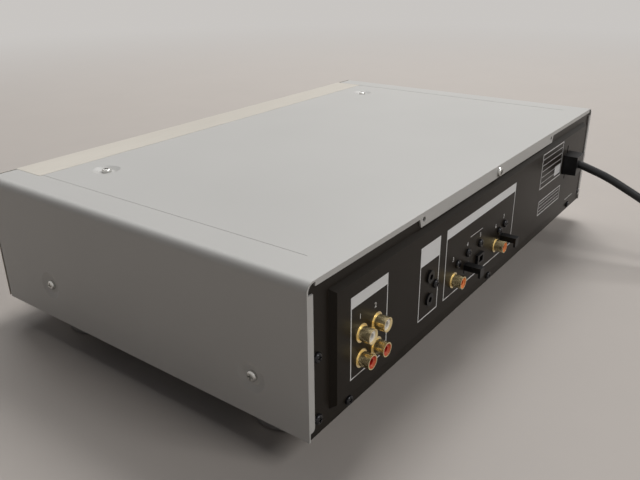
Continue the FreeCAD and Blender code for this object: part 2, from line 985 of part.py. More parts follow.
def make_rear_panel():
    """The black sheet at the rear, with a raised field that holds the sockets."""
    plate = new_body("panel_plate")
    edge = sketch_across(plate, "y", panel_in, "panel_outline")
    high = cover_under - size.cover_fit
    outline(edge, [
        (-panel_half, floor),
        (panel_half, floor),
        (panel_half, high, size.cover_corner),
        (-panel_half, high, size.cover_corner),
    ])
    pad(plate, edge, size.rear_sheet, 1, "panel_sheet")
    inset = size.raised_inset
    slope = size.raised_slope
    low = floor + size.raised_bottom_lift
    high = top - size.raised_top_drop
    wide = ((inset - slope - right, right - inset + slope), (low - slope, high + slope))
    narrow = ((inset - right, right - inset), (low, high))
    bulge = tapered_block("panel_bulge", wide, narrow, (panel_out, raised_out))
    hollow = tapered_block("panel_hollow", wide, narrow, (panel_in, raised_in))
    tools = [hollow]
    tools += [panel_hole(spot, screw_hole) for spot in border_screws + bottom_screws + jack_screws]
    tools += [panel_hole((side * size.tab_hole_spacing / 2, tab_hole_z), size.tab_hole / 2)
              for side in (-1, 1)]
    tools.append(panel_hole((0, tab_hole_z), screw_hole))
    shell_hole = (size.pin_shell + size.panel_fit) / 2
    tools += [panel_hole(spot, shell_hole) for spot in line_spots]
    tools += [panel_hole((x, digital_z), shell_hole) for x in coax_xs]
    tools += [panel_hole(spot, (size.control_rim + size.panel_fit) / 2) for spot in control_spots]
    depth = (panel_in, raised_out)
    for x, (across, tall) in zip(optical_xs, optical_snouts):
        tools.append(box("panel_port", about(x, across + size.panel_fit), depth,
                         about(digital_z, tall + size.panel_fit)))
    neck = size.relief_neck - size.panel_fit
    tools.append(box("panel_relief_hole", about(relief_x, size.relief_width - neck), depth,
                     about(relief_z, size.relief_height - neck)))
    slit_reach = size.relief_height + size.slit_length * 2
    tools.append(box("panel_slit", about(relief_x, size.slit_width), depth, about(relief_z, slit_reach)))
    keep(cut("rear_panel", joined("panel_pressed", [plate, bulge]), tools))


def make_feet():
    """Four round feet with a pad let into each, and a well for the screw that holds it."""
    seat = size.foot_height - size.foot_floor
    foot = turned("foot_turned", [
        (screw_hole, size.foot_height),
        (size.foot_top_radius, size.foot_height),
        (size.foot_radius, size.pad_proud),
        (size.pad_outer, size.pad_proud),
        (size.pad_outer, size.pad_thick),
        (size.pad_inner, size.pad_thick),
        (size.pad_inner, size.pad_proud),
        (size.foot_well, size.pad_proud),
        (size.foot_well, seat),
        (screw_hole, seat),
    ])
    pad_ring = turned("foot_pad_ring", [
        (size.pad_inner, 0),
        (size.pad_outer, 0),
        (size.pad_outer, size.pad_thick),
        (size.pad_inner, size.pad_thick),
    ])
    spots = [((x, y, as_size(0)), UPWARD) for x, y in foot_spots]
    keep(copies("feet", foot, spots))
    keep(copies("foot_pads", pad_ring, spots))


def make_screws():
    """Bright screws for the cover and feet, black ones for the rear panel and sockets."""
    bright = screw("bright_screw", size.screw_head, size.screw_head_high)
    seat = right - size.dimple_depth
    spots = [((side * seat, y, z), TO_RIGHT if side > 0 else TO_LEFT)
             for side in (-1, 1) for y, z in side_screws]
    spots += [((x, y, top - size.dimple_depth), UPWARD) for x, y in top_screws]
    spots.append(((as_size(0), rear, tab_hole_z), TO_REAR))
    spots += [((x, y, size.foot_height - size.foot_floor), DOWNWARD) for x, y in foot_spots]
    keep(copies("case_screws", bright, spots))
    black = screw("black_screw", size.black_head, size.black_head_high)
    spots = [((x, panel_out, z), TO_REAR) for x, z in border_screws + bottom_screws]
    spots += [((x, raised_out, z), TO_REAR) for x, z in jack_screws]
    keep(copies("rear_screws", black, spots))


# Front

buttons = [
    ("power_button", left_x, slot_z, size.power_width, size.power_height),
    ("eject_button", size.eject_offset, slot_z, size.eject_width, size.eject_height),
]
for place_in_row, name in enumerate(("play_button", "pause_button", "stop_button", "record_button")):
    key_x = size.key_start + size.key_pitch * place_in_row
    buttons.append((name, key_x, key_z, size.key_width, size.key_height))


def front_openings(sketch):
    """Holes for the buttons, knob spindles, timer lever and headphone socket."""
    fit = size.button_fit
    for name, x, z, wide, high in buttons:
        rectangle(sketch, about(x, wide + fit * 2), about(z, high + fit * 2), size.button_corner + fit)
    for x in (jog_x, level_x):
        circle(sketch, (x, knob_z), size.spindle_radius + fit)
    lever = size.timer_lever + fit * 2
    rectangle(sketch, about(left_x, lever + size.timer_travel * 2), about(timer_z, lever))
    circle(sketch, (left_x, phones_z), size.phones_bush / 2 + size.running_fit)


def make_front_panel():
    """The face, with a cap that runs back between the cover's tongues."""
    body = new_body("front_panel")
    face = sketch_across(body, "y", front, "face_outline")
    outline(face, [
        (left, floor + size.face_lift),
        (right, floor + size.face_lift),
        (right, top, size.cover_corner),
        (left, top, size.cover_corner),
    ])
    pad(body, face, size.face_thick, 1, "face")
    cap_half = right - size.tongue_width - size.cap_gap
    cap = sketch_across(body, "z", top, "cap_outline")
    rectangle(cap, (-cap_half, cap_half), (front + size.face_thick / 2, middle_front - size.cap_gap))
    cap_pad = pad(body, cap, size.cap_thick, -1, "cap")
    doc.recompute()
    rim = []
    for number, edge in enumerate(cap_pad.Shape.Edges, start=1):
        spot = edge.BoundBox
        if abs(spot.YMax - float(front)) < 0.001 and spot.ZMin > float(floor + size.face_lift) + 1:
            rim.append("Edge%d" % number)
    rounding = body.newObject("PartDesign::Fillet", "face_rounding")
    rounding.Base = (cap_pad, rim)
    bind(rounding, "Radius", smaller(size.face_round, size.face_thick * FACE_ROUNDING))
    holes = sketch_across(body, "y", front, "face_holes")
    rectangle(holes, about(size.slot_offset, size.slot_width), about(slot_z, size.slot_height))
    rectangle(holes, about(display_x, size.display_width), about(display_z, size.display_height))
    front_openings(holes)
    pocket(body, holes, size.face_thick, 1, "face_openings")
    keep(body)


def make_front_frame():
    """The two mouldings behind the face, with the flap's bearings and arms for the top screws."""
    body = new_body("frame_moulded")
    under_cap = top - size.cap_thick
    plate = sketch_across(body, "y", frame_front, "frame_outline")
    low_edge = floor + size.face_lift
    outline(plate, [
        (-panel_half, low_edge),
        (panel_half, low_edge),
        (panel_half, under_cap, size.cover_corner),
        (-panel_half, under_cap, size.cover_corner),
    ])
    pad(body, plate, size.frame_thick, 1, "frame_plate")
    lip = size.window_lip + size.window_fit
    holes = sketch_across(body, "y", frame_front, "frame_holes")
    flap_half = size.slot_width / 2 + size.flap_overlap + size.flap_gap
    low = slot_z - size.slot_height / 2 - size.flap_overlap - size.flap_gap
    rectangle(holes, about(size.slot_offset, flap_half * 2), (low, flap_pivot_z + size.flap_head))
    rectangle(holes, about(display_x, size.display_width + lip * 2),
              about(display_z, size.display_height + lip * 2))
    front_openings(holes)
    pocket(body, holes, size.frame_thick, 1, "frame_openings")

    arm_top = cover_under - size.dimple_depth
    pieces = [body]
    tools = []
    for side in (-1, 1):
        skirt = sorted((side * panel_half, side * (panel_half - size.skirt_thick)), key=float)
        pieces.append(box("frame_skirt", skirt, (frame_back, frame_back + size.frame_skirt),
                          (wall_top + size.cover_fit, top - size.cover_corner)))
        bearing = about(size.slot_offset + side * (flap_half + size.flap_bearing / 2), size.flap_bearing)
        pieces.append(box("frame_bearing", bearing, (frame_back, flap_pivot_y + size.flap_boss),
                          about(flap_pivot_z, size.flap_boss * 2)))
    for x, y in top_screws:
        pieces.append(box("frame_arm", about(x, size.arm_pad), (frame_back, y + size.arm_pad / 2),
                          (arm_top - size.arm_pad_thick, arm_top)))
        tools.append(rod("frame_arm_hole", screw_hole, size.arm_pad_thick, (x, y, arm_top), DOWNWARD))
    bore = size.flap_pin + size.running_fit
    span = (flap_half + size.flap_bearing) * 2
    tools.append(rod("frame_pin_bore", bore, span,
                     (size.slot_offset - span / 2, flap_pivot_y, flap_pivot_z), TO_RIGHT))
    whole = cut("front_frame_whole", joined("frame_with_arms", pieces), tools)
    deep = (frame_front, frame_front + size.top_screw_front + size.arm_pad)
    for name, other in (("front_frame_left", (size.frame_split, right)),
                        ("front_frame_right", (left, size.frame_split))):
        keep(cut(name, whole, [box(name + "_end", other, deep, (floor, top))]))


def make_display():
    """The clear window let into the face and the display tube behind it."""
    body = new_body("display_window")
    fit = size.window_fit
    pane = sketch_across(body, "y", front, "pane_outline")
    rectangle(pane, about(display_x, size.display_width - fit * 2),
              about(display_z, size.display_height - fit * 2))
    pad(body, pane, size.face_thick, 1, "pane")
    lip = sketch_across(body, "y", frame_front, "pane_lip_outline")
    rectangle(lip, about(display_x, size.display_width + size.window_lip * 2),
              about(display_z, size.display_height + size.window_lip * 2))
    pad(body, lip, size.window_lip_thick, 1, "pane_lip")
    keep(body)
    keep(box("display_tube", about(display_x, size.tube_width),
             (board_front - size.tube_thick, board_front), about(display_z, size.tube_height)))


def make_front_board():
    """The switch board behind the display and a small one behind the power button."""
    low = chassis_floor + size.board_margin
    high = top - size.board_top_drop
    plates = [
        box("front_board_plate", (size.board_split, right - size.board_side), (board_front, board_back),
            (low, high)),
        box("power_board_plate", about(left_x, size.power_board), (board_front, board_back),
            (timer_z - size.board_margin, high)),
    ]
    boards = []
    for plate, wanted in ((plates[0], buttons[1:]), (plates[1], buttons[:1])):
        blocks = [box(name + "_switch", about(x, size.switch_body), (switch_front, board_front),
                      about(z, size.switch_body)) for name, x, z, wide, tall in wanted]
        boards.append(joined(plate.Name + "_with_switches", [plate] + blocks))
    timer_block = box("timer_block", about(left_x, size.timer_cover * 2),
                      (board_front - size.timer_block, board_front), about(timer_z, size.switch_body))
    boards[1].Shapes = boards[1].Shapes + [timer_block]
    keep(group("front_board", boards))


def make_button(name, x, z, wide, high):
    """A button with a flange behind the frame and a stem that reaches its switch."""
    body = new_body(name)
    cap = sketch_across(body, "y", front - size.button_proud, name + "_cap_outline")
    rectangle(cap, about(x, wide), about(z, high), size.button_corner)
    cap_length = size.button_proud + size.face_thick + size.frame_thick + size.flange_gap
    pad(body, cap, cap_length, 1, name + "_cap")
    flange_y = frame_back + size.flange_gap
    flange = sketch_across(body, "y", flange_y, name + "_flange_outline")
    rectangle(flange, about(x, wide + size.button_flange * 2), about(z, high + size.button_flange * 2))
    pad(body, flange, size.button_flange_thick, 1, name + "_flange")
    stem_start = flange_y + size.button_flange_thick
    stem = sketch_across(body, "y", stem_start, name + "_stem_outline")
    circle(stem, (x, z), size.button_stem / 2)
    reach = switch_front - size.button_travel - size.flange_gap - stem_start
    pad(body, stem, reach, 1, name + "_stem")
    keep(body)


def make_knobs():
    """The jog knob and the record level knob, each with its own spindle in a hollow control."""
    spindle_end = -(size.board_setback - size.spindle_short)
    for name, x, radius, length in (("jog_knob", jog_x, size.jog_radius, size.jog_length),
                                    ("level_knob", level_x, size.level_radius, size.level_length)):
        tip = size.knob_gap + length
        body = turned(name, [
            (0, spindle_end),
            (size.spindle_radius, spindle_end),
            (size.spindle_radius, size.knob_gap),
            (radius, size.knob_gap),
            (radius, tip, size.knob_round),
            (0, tip),
        ])
        mark = sketch_across(body, "z", tip, name + "_mark_outline")
        if name == "jog_knob":
            circle(mark, (0, radius * DIMPLE_PLACE), radius * DIMPLE_RADIUS)
        else:
            reach = (radius * POINTER_START, radius * POINTER_END)
            rectangle(mark, about(as_size(0), size.mark_width), reach)
        pocket(body, mark, size.mark_depth, -1, name + "_mark")
        place(body, (x, front, knob_z), TO_FRONT)
        keep(body)
    housings = []
    for x in (jog_x, level_x):
        block = box("control_block", about(x, size.encoder_size),
                    (board_front - size.encoder_depth, board_front), about(knob_z, size.encoder_size))
        bore = rod("control_bore", size.spindle_radius + size.running_fit, size.encoder_depth,
                   (x, board_front, knob_z), TO_FRONT)
        housings.append(cut("control_housing", block, [bore]))
    keep(group("knob_controls", housings))


def make_timer_switch():
    """The lever of the timer switch, which slides between three places."""
    body = new_body("timer_switch")
    lever = sketch_across(body, "y", front - size.timer_proud, "timer_lever_outline")
    rectangle(lever, about(left_x, size.timer_lever), about(timer_z, size.timer_lever))
    pad(body, lever, size.timer_proud + size.face_thick + size.frame_thick + size.flange_gap, 1,
        "timer_lever")
    cover = sketch_across(body, "y", frame_back + size.flange_gap, "timer_cover_outline")
    rectangle(cover, about(left_x, size.timer_cover * 2), about(timer_z, size.timer_lever * 2))
    pad(body, cover, size.button_flange_thick, 1, "timer_cover")
    keep(body)


def make_headphone_socket():
    """The headphone socket, a threaded bush in front of a square body."""
    block = box("phones_block", about(left_x, size.phones_body),
                (frame_back, frame_back + size.phones_depth), about(phones_z, size.phones_body))
    bush_start = front - size.phones_proud
    bush = rod("phones_bush", size.phones_bush / 2, frame_back - bush_start,
               (left_x, bush_start, phones_z), TO_REAR)
    bore = rod("phones_bore", size.phones_bore / 2, size.phones_bore_depth,
               (left_x, bush_start, phones_z), TO_REAR)
    keep(cut("headphone_socket", joined("phones_solid", [block, bush]), [bore]))


def make_flap():
    """The slot's flap, hung on pins at its top edge."""
    half = size.slot_width / 2 + size.flap_overlap
    low = slot_z - size.slot_height / 2 - size.flap_overlap
    plate = box("flap_plate", about(size.slot_offset, half * 2), about(flap_pivot_y, size.flap_thick),
                (low, flap_pivot_z))
    reach = half + size.flap_pin_reach
    pin = rod("flap_pins", size.flap_pin, reach * 2,
              (size.slot_offset - reach, flap_pivot_y, flap_pivot_z), TO_RIGHT)
    keep(joined("slot_flap", [plate, pin]))


# Rear sockets

def socket_block(name, x, width, high, screw_spot, ear_low):
    """A moulded socket body on the main board, with an ear for the screw beside it."""
    block = box(name, about(x, width), (raised_in - size.housing_depth, raised_in), (board_top, high))
    screw_x, screw_z = screw_spot
    ear = box(name + "_ear", (screw_x - size.ear_margin, x + size.ear_margin),
              (raised_in - size.ear_depth, raised_in), (ear_low, screw_z + size.ear_margin))
    hole = rod(name + "_ear_hole", screw_hole, size.ear_depth, (screw_x, raised_in, screw_z), TO_FRONT)
    return [block, ear], hole


def shell_seat(spot):
    """The round seat that a pin socket's shell stands in."""
    x, z = spot
    return rod("shell_seat", size.pin_shell / 2 + size.running_fit, size.pin_seat,
               (x, raised_in, z), TO_FRONT)


def make_line_sockets():
    """Four line sockets and two coaxial ones: moulded bodies, gold shells and coloured inserts."""
    margin = size.housing_margin
    high = line_z + size.line_pitch_z / 2 + margin
    block = box("line_block", about(line_x, size.line_pitch_x + margin * 2),
                (raised_in - size.housing_depth, raised_in), (board_top, high))
    keep(cut("line_housing", block, [shell_seat(spot) for spot in line_spots]))

    blocks = []
    for x, spot in zip(coax_xs, coax_screws):
        solids, hole = socket_block("coax_block", x, size.coax_body, digital_z + size.coax_rise, spot,
                                    digital_z + size.coax_ear_low)
        blocks.append(cut("coax_housing", joined("coax_solid", solids), [hole, shell_seat((x, digital_z))]))
    keep(group("coax_housings", blocks))

    back = -(size.rear_sheet + size.pin_seat)
    bore = size.pin_bore / 2
    shell = size.pin_shell / 2
    flange = size.pin_flange / 2
    shell_turned = turned("pin_shell_turned", [
        (bore, back),
        (shell, back),
        (shell, 0),
        (flange, 0),
        (flange, size.pin_flange_thick),
        (shell, size.pin_flange_thick),
        (shell, size.pin_reach),
        (bore, size.pin_reach),
    ])
    face = size.pin_reach - size.insert_recess
    contact = size.pin_contact / 2
    insert = bore - size.running_fit
    insert_turned = turned("pin_insert_turned", [
        (0, back),
        (insert, back),
        (insert, face),
        (contact, face),
        (contact, face - size.contact_depth),
        (0, face - size.contact_depth),
    ])
    line_places = [((x, raised_out, z), TO_REAR) for x, z in line_spots]
    coax_places = [((x, raised_out, digital_z), TO_REAR) for x in coax_xs]
    keep(copies("line_shells", shell_turned, line_places))
    keep(copies("red_inserts", insert_turned, line_places[:2]))
    keep(copies("white_inserts", insert_turned, line_places[2:]))
    keep(copies("coax_shells", shell_turned, coax_places))
    keep(copies("coax_inserts", insert_turned, coax_places))


def make_control_sockets():
    """Two small control sockets, one above the other, in one moulded body."""
    high = control_z + size.line_pitch_z / 2 + size.control_body / 2
    solids, hole = socket_block("control_block", control_x, size.control_body, high, control_screw,
                                control_z - size.ear_margin)
    mouth = raised_out + size.control_proud
    bores = []
    for x, z in control_spots:
        solids.append(rod("control_rim", size.control_rim / 2, mouth - raised_in, (x, raised_in, z), TO_REAR))
        bores.append(rod("control_bore", size.control_bore / 2, size.control_depth, (x, mouth, z), TO_FRONT))
    keep(cut("control_sockets", joined("control_solid", solids), bores + [hole]))


def make_optical_sockets():
    """Three square optical sockets: the middle one open, the outer two closed by dust caps."""
    port = (size.optical_port, size.optical_port)
    open_port = (size.open_port_width, size.open_port_height)
    flush = raised_out
    proud = raised_out + size.open_snout_proud
    blocks = []
    for x, spot, snout, hollow, mouth in zip(optical_xs, optical_screws, optical_snouts,
                                             (port, open_port, port), (flush, proud, flush)):
        solids, hole = socket_block("optical_block", x, size.optical_body,
                                    digital_z + size.optical_rise, spot, digital_z)
        solids.append(box("optical_snout", about(x, snout[0]), (raised_in, mouth),
                          about(digital_z, snout[1])))
        opening = box("optical_port", about(x, hollow[0]), (raised_out - size.optical_port_depth, mouth),
                      about(digital_z, hollow[1]))
        blocks.append(cut("optical_housing", joined("optical_solid", solids), [hole, opening]))
    keep(group("optical_sockets", blocks))

    lip = about(digital_z, size.cap_lip)
    for number, x in enumerate((optical_xs[0], optical_xs[2]), start=1):
        start = raised_out + size.cap_clear
        end = raised_out + size.cap_reach
        lip_start = end - size.cap_lip_thick
        wide = about(x, size.cap_width)
        pieces = [
            box("cap_plug", about(x, size.cap_plug), (raised_out - size.cap_plug_length, start),
                about(digital_z, size.cap_plug)),
            box("cap_body", wide, (start, lip_start), (lip[1] - size.cap_body, lip[1])),
            box("cap_lip", wide, (lip_start, end), lip),
        ]
        keep(joined("optical_cap_%d" % number, pieces))


# Mains lead

cord_radius = size.cord_width / 2
coil_top = cord_radius + size.layer_pitch
cord_start = (relief_x, raised_out + size.relief_reach - size.cord_seat, relief_z + size.cord_rise)

# The lead's points: sideways and rearward from its start, and the share of its whole fall
LEAD = [
    (0.0, 0.0, 0.0),
    (-0.3, 14.0, 0.064),
    (-0.8, 28.0, 0.136),
    (-1.5, 44.0, 0.257),
    (-2.3, 61.0, 0.389),
    (-3.3, 77.5, 0.543),
    (-4.3, 93.5, 0.709),
    (-4.9, 108.5, 0.853),
    (-5.1, 122.5, 0.947),
    (-4.9, 136.0, 0.993),
    (-4.7, 146.0, 1.0),
]

# The tail's points: sideways and rearward from the coil's end, and the share of its rise to the plug
TAIL = [
    (0.0, 0.0, 0.0),
    (0.3, 19.5, 0.03),
    (-8.0, 41.0, 0.2),
    (-24.5, 57.5, 0.6),
    (-44.5, 66.0, 0.9),
    (-63.0, 66.0, 1.0),
]


def spread(points, start, end_height):
    """Route points as vectors, from a start and a last height."""
    x, y, z = (float(value) for value in start)
    rise = float(end_height) - z
    return [Vector(x + side, y + back, z + rise * share) for side, back, share in points]


def unit(vector):
    """The direction of a vector."""
    return vector / vector.Length


def pipe(name, edges):
    """A solid tube along joined edges, its volume compared with its section and length."""
    path = Part.Wire(edges)
    start = edges[0].valueAt(edges[0].FirstParameter)
    heading = edges[0].tangentAt(edges[0].FirstParameter)
    section = Part.Wire([Part.makeCircle(float(cord_radius), start, heading)])
    solid = path.makePipeShell([section], True, False)
    expected = math.pi * float(cord_radius) ** 2 * path.Length
    print("%s: %.1f mm long, volume %.4f of section by length" % (name, path.Length, solid.Volume / expected))
    piece = doc.addObject("Part::Feature", name)
    piece.Shape = solid
    return keep(piece)


def bent_pipe(name, points):
    """A tube of straight runs joined by arcs, each as large as its two runs allow."""
    edges = []
    here = points[0]
    radii = []
    for before, corner, after in zip(points, points[1:], points[2:]):
        way_in = unit(corner - before)
        way_out = unit(after - corner)
        half_turn = way_in.getAngle(way_out) / 2
        reach = BEND_REACH * min((corner - before).Length, (after - corner).Length)
        radius = reach / math.tan(half_turn)
        radii.append("%.0f" % radius)
        start = corner - way_in * reach
        end = corner + way_out * reach
        inward = unit(way_out - way_in)
        middle = corner + inward * (radius / math.cos(half_turn) - radius)
        edges.append(Part.LineSegment(here, start).toShape())
        edges.append(Part.Arc(start, middle, end).toShape())
        here = end
    edges.append(Part.LineSegment(here, points[-1]).toShape())
    print("%s: bend radii %s mm" % (name, ", ".join(radii)))
    return pipe(name, edges)


def coil_spot(turns):
    """The coil's line about its own middle: inwards above, then down and outwards below."""
    inward = float(size.coil_inward)
    radius = float(size.coil_inner) + float(size.turn_pitch) * abs(turns - inward)
    climb = float(size.coil_climb)
    share = min(max((turns - inward) / climb + 0.5, 0.0), 1.0)
    fall = float(size.layer_pitch) * (1 - math.cos(math.pi * share)) / 2
    angle = 2 * math.pi * turns
    return Vector(radius * math.cos(angle), radius * math.sin(angle), float(coil_top) - fall)


def coil_heading(turns):
    """The direction of the coil's line."""
    step = 0.01
    return unit(coil_spot(turns + step) - coil_spot(turns - step))


def biarc(start, heading, end, end_heading):
    """Two arcs that leave start and reach end in the directions given."""
    chord = end - start
    both = heading + end_heading
    across = chord.dot(both)
    spread_out = 2 * (1 - heading.dot(end_heading))
    reach = (math.sqrt(across ** 2 + spread_out * chord.dot(chord)) - across) / spread_out
    near = start + heading * reach
    far = end - end_heading * reach
    joint = (near + far) / 2
    return [tangent_arc(start, heading, joint), tangent_arc(joint, unit(far - near), end)]


def tangent_arc(start, heading, end):
    """The arc that leaves start in a direction and ends at end."""
    chord = end - start
    side = unit(chord - heading * chord.dot(heading))
    radius = chord.dot(chord) / (2 * chord.dot(side))
    centre = start + side * radius
    outward = unit(start + chord / 2 - centre)
    return Part.Arc(start, centre + outward * radius, end).toShape()


def least_gap(edges):
    """The least distance between the tube and itself, measured on points along it."""
    spacing = float(cord_radius) / 2
    spots = []
    for edge in edges:
        spots += edge.discretize(Number=max(2, int(edge.Length / spacing) + 1))[:-1]
    skip = int(math.pi * float(size.coil_inner) / spacing)
    least = min(spots[first].distanceToPoint(spots[second])
                for first in range(len(spots))
                for second in range(first + skip, len(spots)))
    return least - float(size.cord_width)


def make_lead():
    """The mains lead: strain relief, fall to the floor, coil, tail, plug and pins."""
    lead = spread(LEAD, cord_start, coil_top)
    heading = unit(lead[1] - lead[0])
    lean = Rotation(Vector(0, 0, 1), heading)
    waist = size.relief_neck
    outer = tapered_block("relief_outer", (about(relief_x, size.relief_width),
                                           about(relief_z, size.relief_height)),
                          (about(relief_x, size.relief_width - size.relief_taper),
                           about(relief_z, size.relief_height - size.relief_taper)),
                          (raised_out, raised_out + size.relief_reach))
    neck = box("relief_waist", about(relief_x, size.relief_width - waist), (raised_in, raised_out),
               about(relief_z, size.relief_height - waist))
    barb = waist - size.relief_barb
    inner = box("relief_inner", about(relief_x, size.relief_width - barb),
                (raised_in - size.relief_inside, raised_in), about(relief_z, size.relief_height - barb))
    bore = rod("relief_bore", cord_radius + size.running_fit, size.cord_seat * 2, cord_start, lean)
    keep(cut("strain_relief", joined("relief_solid", [outer, neck, inner]), [bore]))
    bent_pipe("power_cord", lead)

    turns = float(size.coil_turns)
    straight = float(size.cord_width)
    entry_heading = coil_heading(0)
    coil_middle = lead[-1] + entry_heading * straight - coil_spot(0)
    edges = [Part.LineSegment(lead[-1], lead[-1] + entry_heading * straight).toShape()]
    for step in range(int(turns * ARCS_PER_TURN)):
        begin = step / ARCS_PER_TURN
        finish = (step + 1) / ARCS_PER_TURN
        edges += biarc(coil_middle + coil_spot(begin), coil_heading(begin),
                       coil_middle + coil_spot(finish), coil_heading(finish))
    leave = coil_middle + coil_spot(turns)
    tail_start = leave + coil_heading(turns) * straight
    edges.append(Part.LineSegment(leave, tail_start).toShape())
    pipe("cord_coil", edges)
    print("cord_coil: least gap to itself %.2f mm" % least_gap(edges))

    middle = size.plug_thick / 2
    tail = spread(TAIL, tail_start, middle)
    bent_pipe("cord_tail", tail)
    make_plug(tail[-1])


def make_plug(spot):
    """The flat two-pin plug at the end of the tail, lying on the floor."""
    narrow = size.plug_back / 2
    wide = size.plug_width / 2
    body = new_body("plug_moulded")
    plan = sketch_across(body, "z", as_size(0), "plug_outline")
    flare_end = -(size.plug_grip + size.plug_flare)
    outline(plan, [
        (0, -narrow),
        (0, narrow),
        (-size.plug_grip, narrow),
        (flare_end, wide),
        (-size.plug_length, wide),
        (-size.plug_length, -wide),
        (flare_end, -wide),
        (-size.plug_grip, -narrow),
    ])
    pad(body, plan, size.plug_thick, 1, "plug_block")
    body.Placement = Placement(Vector(spot.x, spot.y, 0), Rotation())
    pins = []
    seats = []
    for side in (-1, 1):
        start = (spot.x - (size.plug_length - size.plug_pin_seat),
                 spot.y + side * size.plug_pin_spacing / 2, size.plug_thick / 2)
        pins.append(rod("plug_pin", size.plug_pin / 2, size.plug_pin_length + size.plug_pin_seat, start,
                        TO_LEFT))
        seats.append(rod("plug_pin_seat", size.plug_pin / 2, size.plug_pin_seat, start, TO_LEFT))
    keep(cut("mains_plug", body, seats))
    keep(group("plug_pins", pins))


# Power supply and main board

def make_supply():
    """The transformer, its core a closed frame with a middle limb that carries the winding."""
    x = left + size.core_inset
    y = rear - size.core_rear
    limb = size.core_limb
    low = chassis_floor
    high = low + size.core_height
    depth = about(y, size.core_depth)
    core = box("core_block", about(x, size.core_width), depth, (low, high))
    window = (size.core_width - limb * 4) / 2
    windows = [box("core_window", about(x + side * (limb + window / 2), window), depth,
                   (low + limb, high - limb))
               for side in (-1, 1)]
    keep(cut("transformer_core", core, windows))
    margin = size.coil_margin
    outer = box("winding_block", about(x, (limb + window - margin) * 2),
                about(y, size.core_depth + size.coil_swell * 2), (low + limb + margin, high - limb - margin))
    inner = box("winding_hole", about(x, (limb + size.running_fit) * 2),
                about(y, size.core_depth + size.running_fit * 2), (low, high))
    keep(cut("transformer_winding", outer, [inner]))


def make_main_board():
    """The main board on its posts, with its capacitors."""
    board_right = right - size.main_board_inset
    board_left = board_right - size.main_board_width
    board_rear = rear - size.main_board_rear
    board_near = board_rear - size.main_board_depth
    under = board_top - size.board_thick
    keep(box("main_board", (board_left, board_right), (board_near, board_rear), (under, board_top)))
    inset = size.post_inset
    posts = [rod("board_post", size.post_radius, under - chassis_floor, (x, y, chassis_floor))
             for x in (board_left + inset, board_left + size.post_mid, board_right - inset)
             for y in (board_near + inset, board_rear - inset)]
    keep(group("board_posts", posts))
    cans = []
    for step in range(LARGE_CAPACITORS):
        x = board_left + size.capacitor_inset + size.capacitor_pitch * step
        cans.append(rod("large_capacitor", size.capacitor_radius, size.capacitor_height,
                        (x, board_near + size.capacitor_inset, board_top)))
    for step in range(SMALL_CAPACITORS):
        x = line_x - size.small_capacitor_pitch * step
        cans.append(rod("small_capacitor", size.small_capacitor_radius, size.small_capacitor_height,
                        (x, board_rear - size.small_capacitor_rear, board_top)))
    keep(group("capacitors", cans))


# Disc mechanism

spindle_x = size.slot_offset
holder_half = size.disc_case / 2 + size.holder_fit + size.holder_sheet
holder_front = front + size.holder_setback
holder_rear = holder_front + size.disc_case_depth + size.holder_spare
spindle_y = (holder_front + holder_rear) / 2
holder_low = slot_z - size.disc_case_thick / 2 - size.holder_fit - size.holder_sheet
holder_high = slot_z + size.disc_case_thick / 2 + size.holder_fit + size.holder_sheet
base_top = slot_z - size.base_drop
base_low = base_top - size.base_thick
base_x = (spindle_x - size.base_left, spindle_x + size.base_right)
base_y = (spindle_y - size.base_front, spindle_y + size.base_rear)
wall_in = holder_half + size.wall_gap
wall_out = wall_in + size.base_wall
slider_in = wall_out + size.slider_gap
slider_out = slider_in + size.slider_thick
slot_radius = size.holder_pin / 2 + size.pin_clear
pin_ys = [spindle_y + side * size.holder_pin_pitch / 2 for side in (-1, 1)]
rod_z = base_top + size.rod_lift
rod_ys = [spindle_y + side * size.rod_spread for side in (-1, 1)]
rod_x = (spindle_x - size.rod_left, spindle_x + size.rod_right)
lead_y = spindle_y + size.lead_offset
lead_end = rod_x[1] + size.rod_post + size.pin_clear
stud_z = base_top + size.stud_lift
stud_ys = [spindle_y - size.stud_front, spindle_y + size.stud_rear]
sled_x = spindle_x + size.sled_start
sled_low = base_top + size.sled_gap
sled_high = sled_low + size.sled_thick
neck_x = about(sled_x + size.sled_length / 2, size.neck_width)
riser_y = (holder_rear + size.riser_gap, holder_rear + size.riser_gap + size.riser_thick)
arm_pivot_y = riser_y[0] + size.riser_thick / 2
arm_pivot_z = holder_high + size.arm_rise
gear_x = spindle_x - (slider_out + size.slider_flange + size.gear_module * size.gear_teeth / 2)
gear_low = base_top + size.gear_lift


def make_mech_bracket():
    """Two folded rails that carry the mechanism above the chassis floor."""
    sheet = size.bracket_sheet
    rails = []
    for side, edge in ((-1, base_x[0]), (1, base_x[1])):
        inner = edge - side * size.bracket_flange
        outer = edge + side * size.bracket_foot
        wall = edge + side * sheet
        flange = sorted((edge, inner), key=float)
        upright = sorted((edge, wall), key=float)
        foot = sorted((edge, outer), key=float)
        rails.append(joined("bracket_rail", [
            box("rail_flange", flange, base_y, (base_low - sheet, base_low)),
            box("rail_wall", upright, base_y, (chassis_floor, base_low)),
            box("rail_foot", foot, base_y, (chassis_floor, chassis_floor + sheet)),
        ]))
    keep(group("mech_bracket", rails))


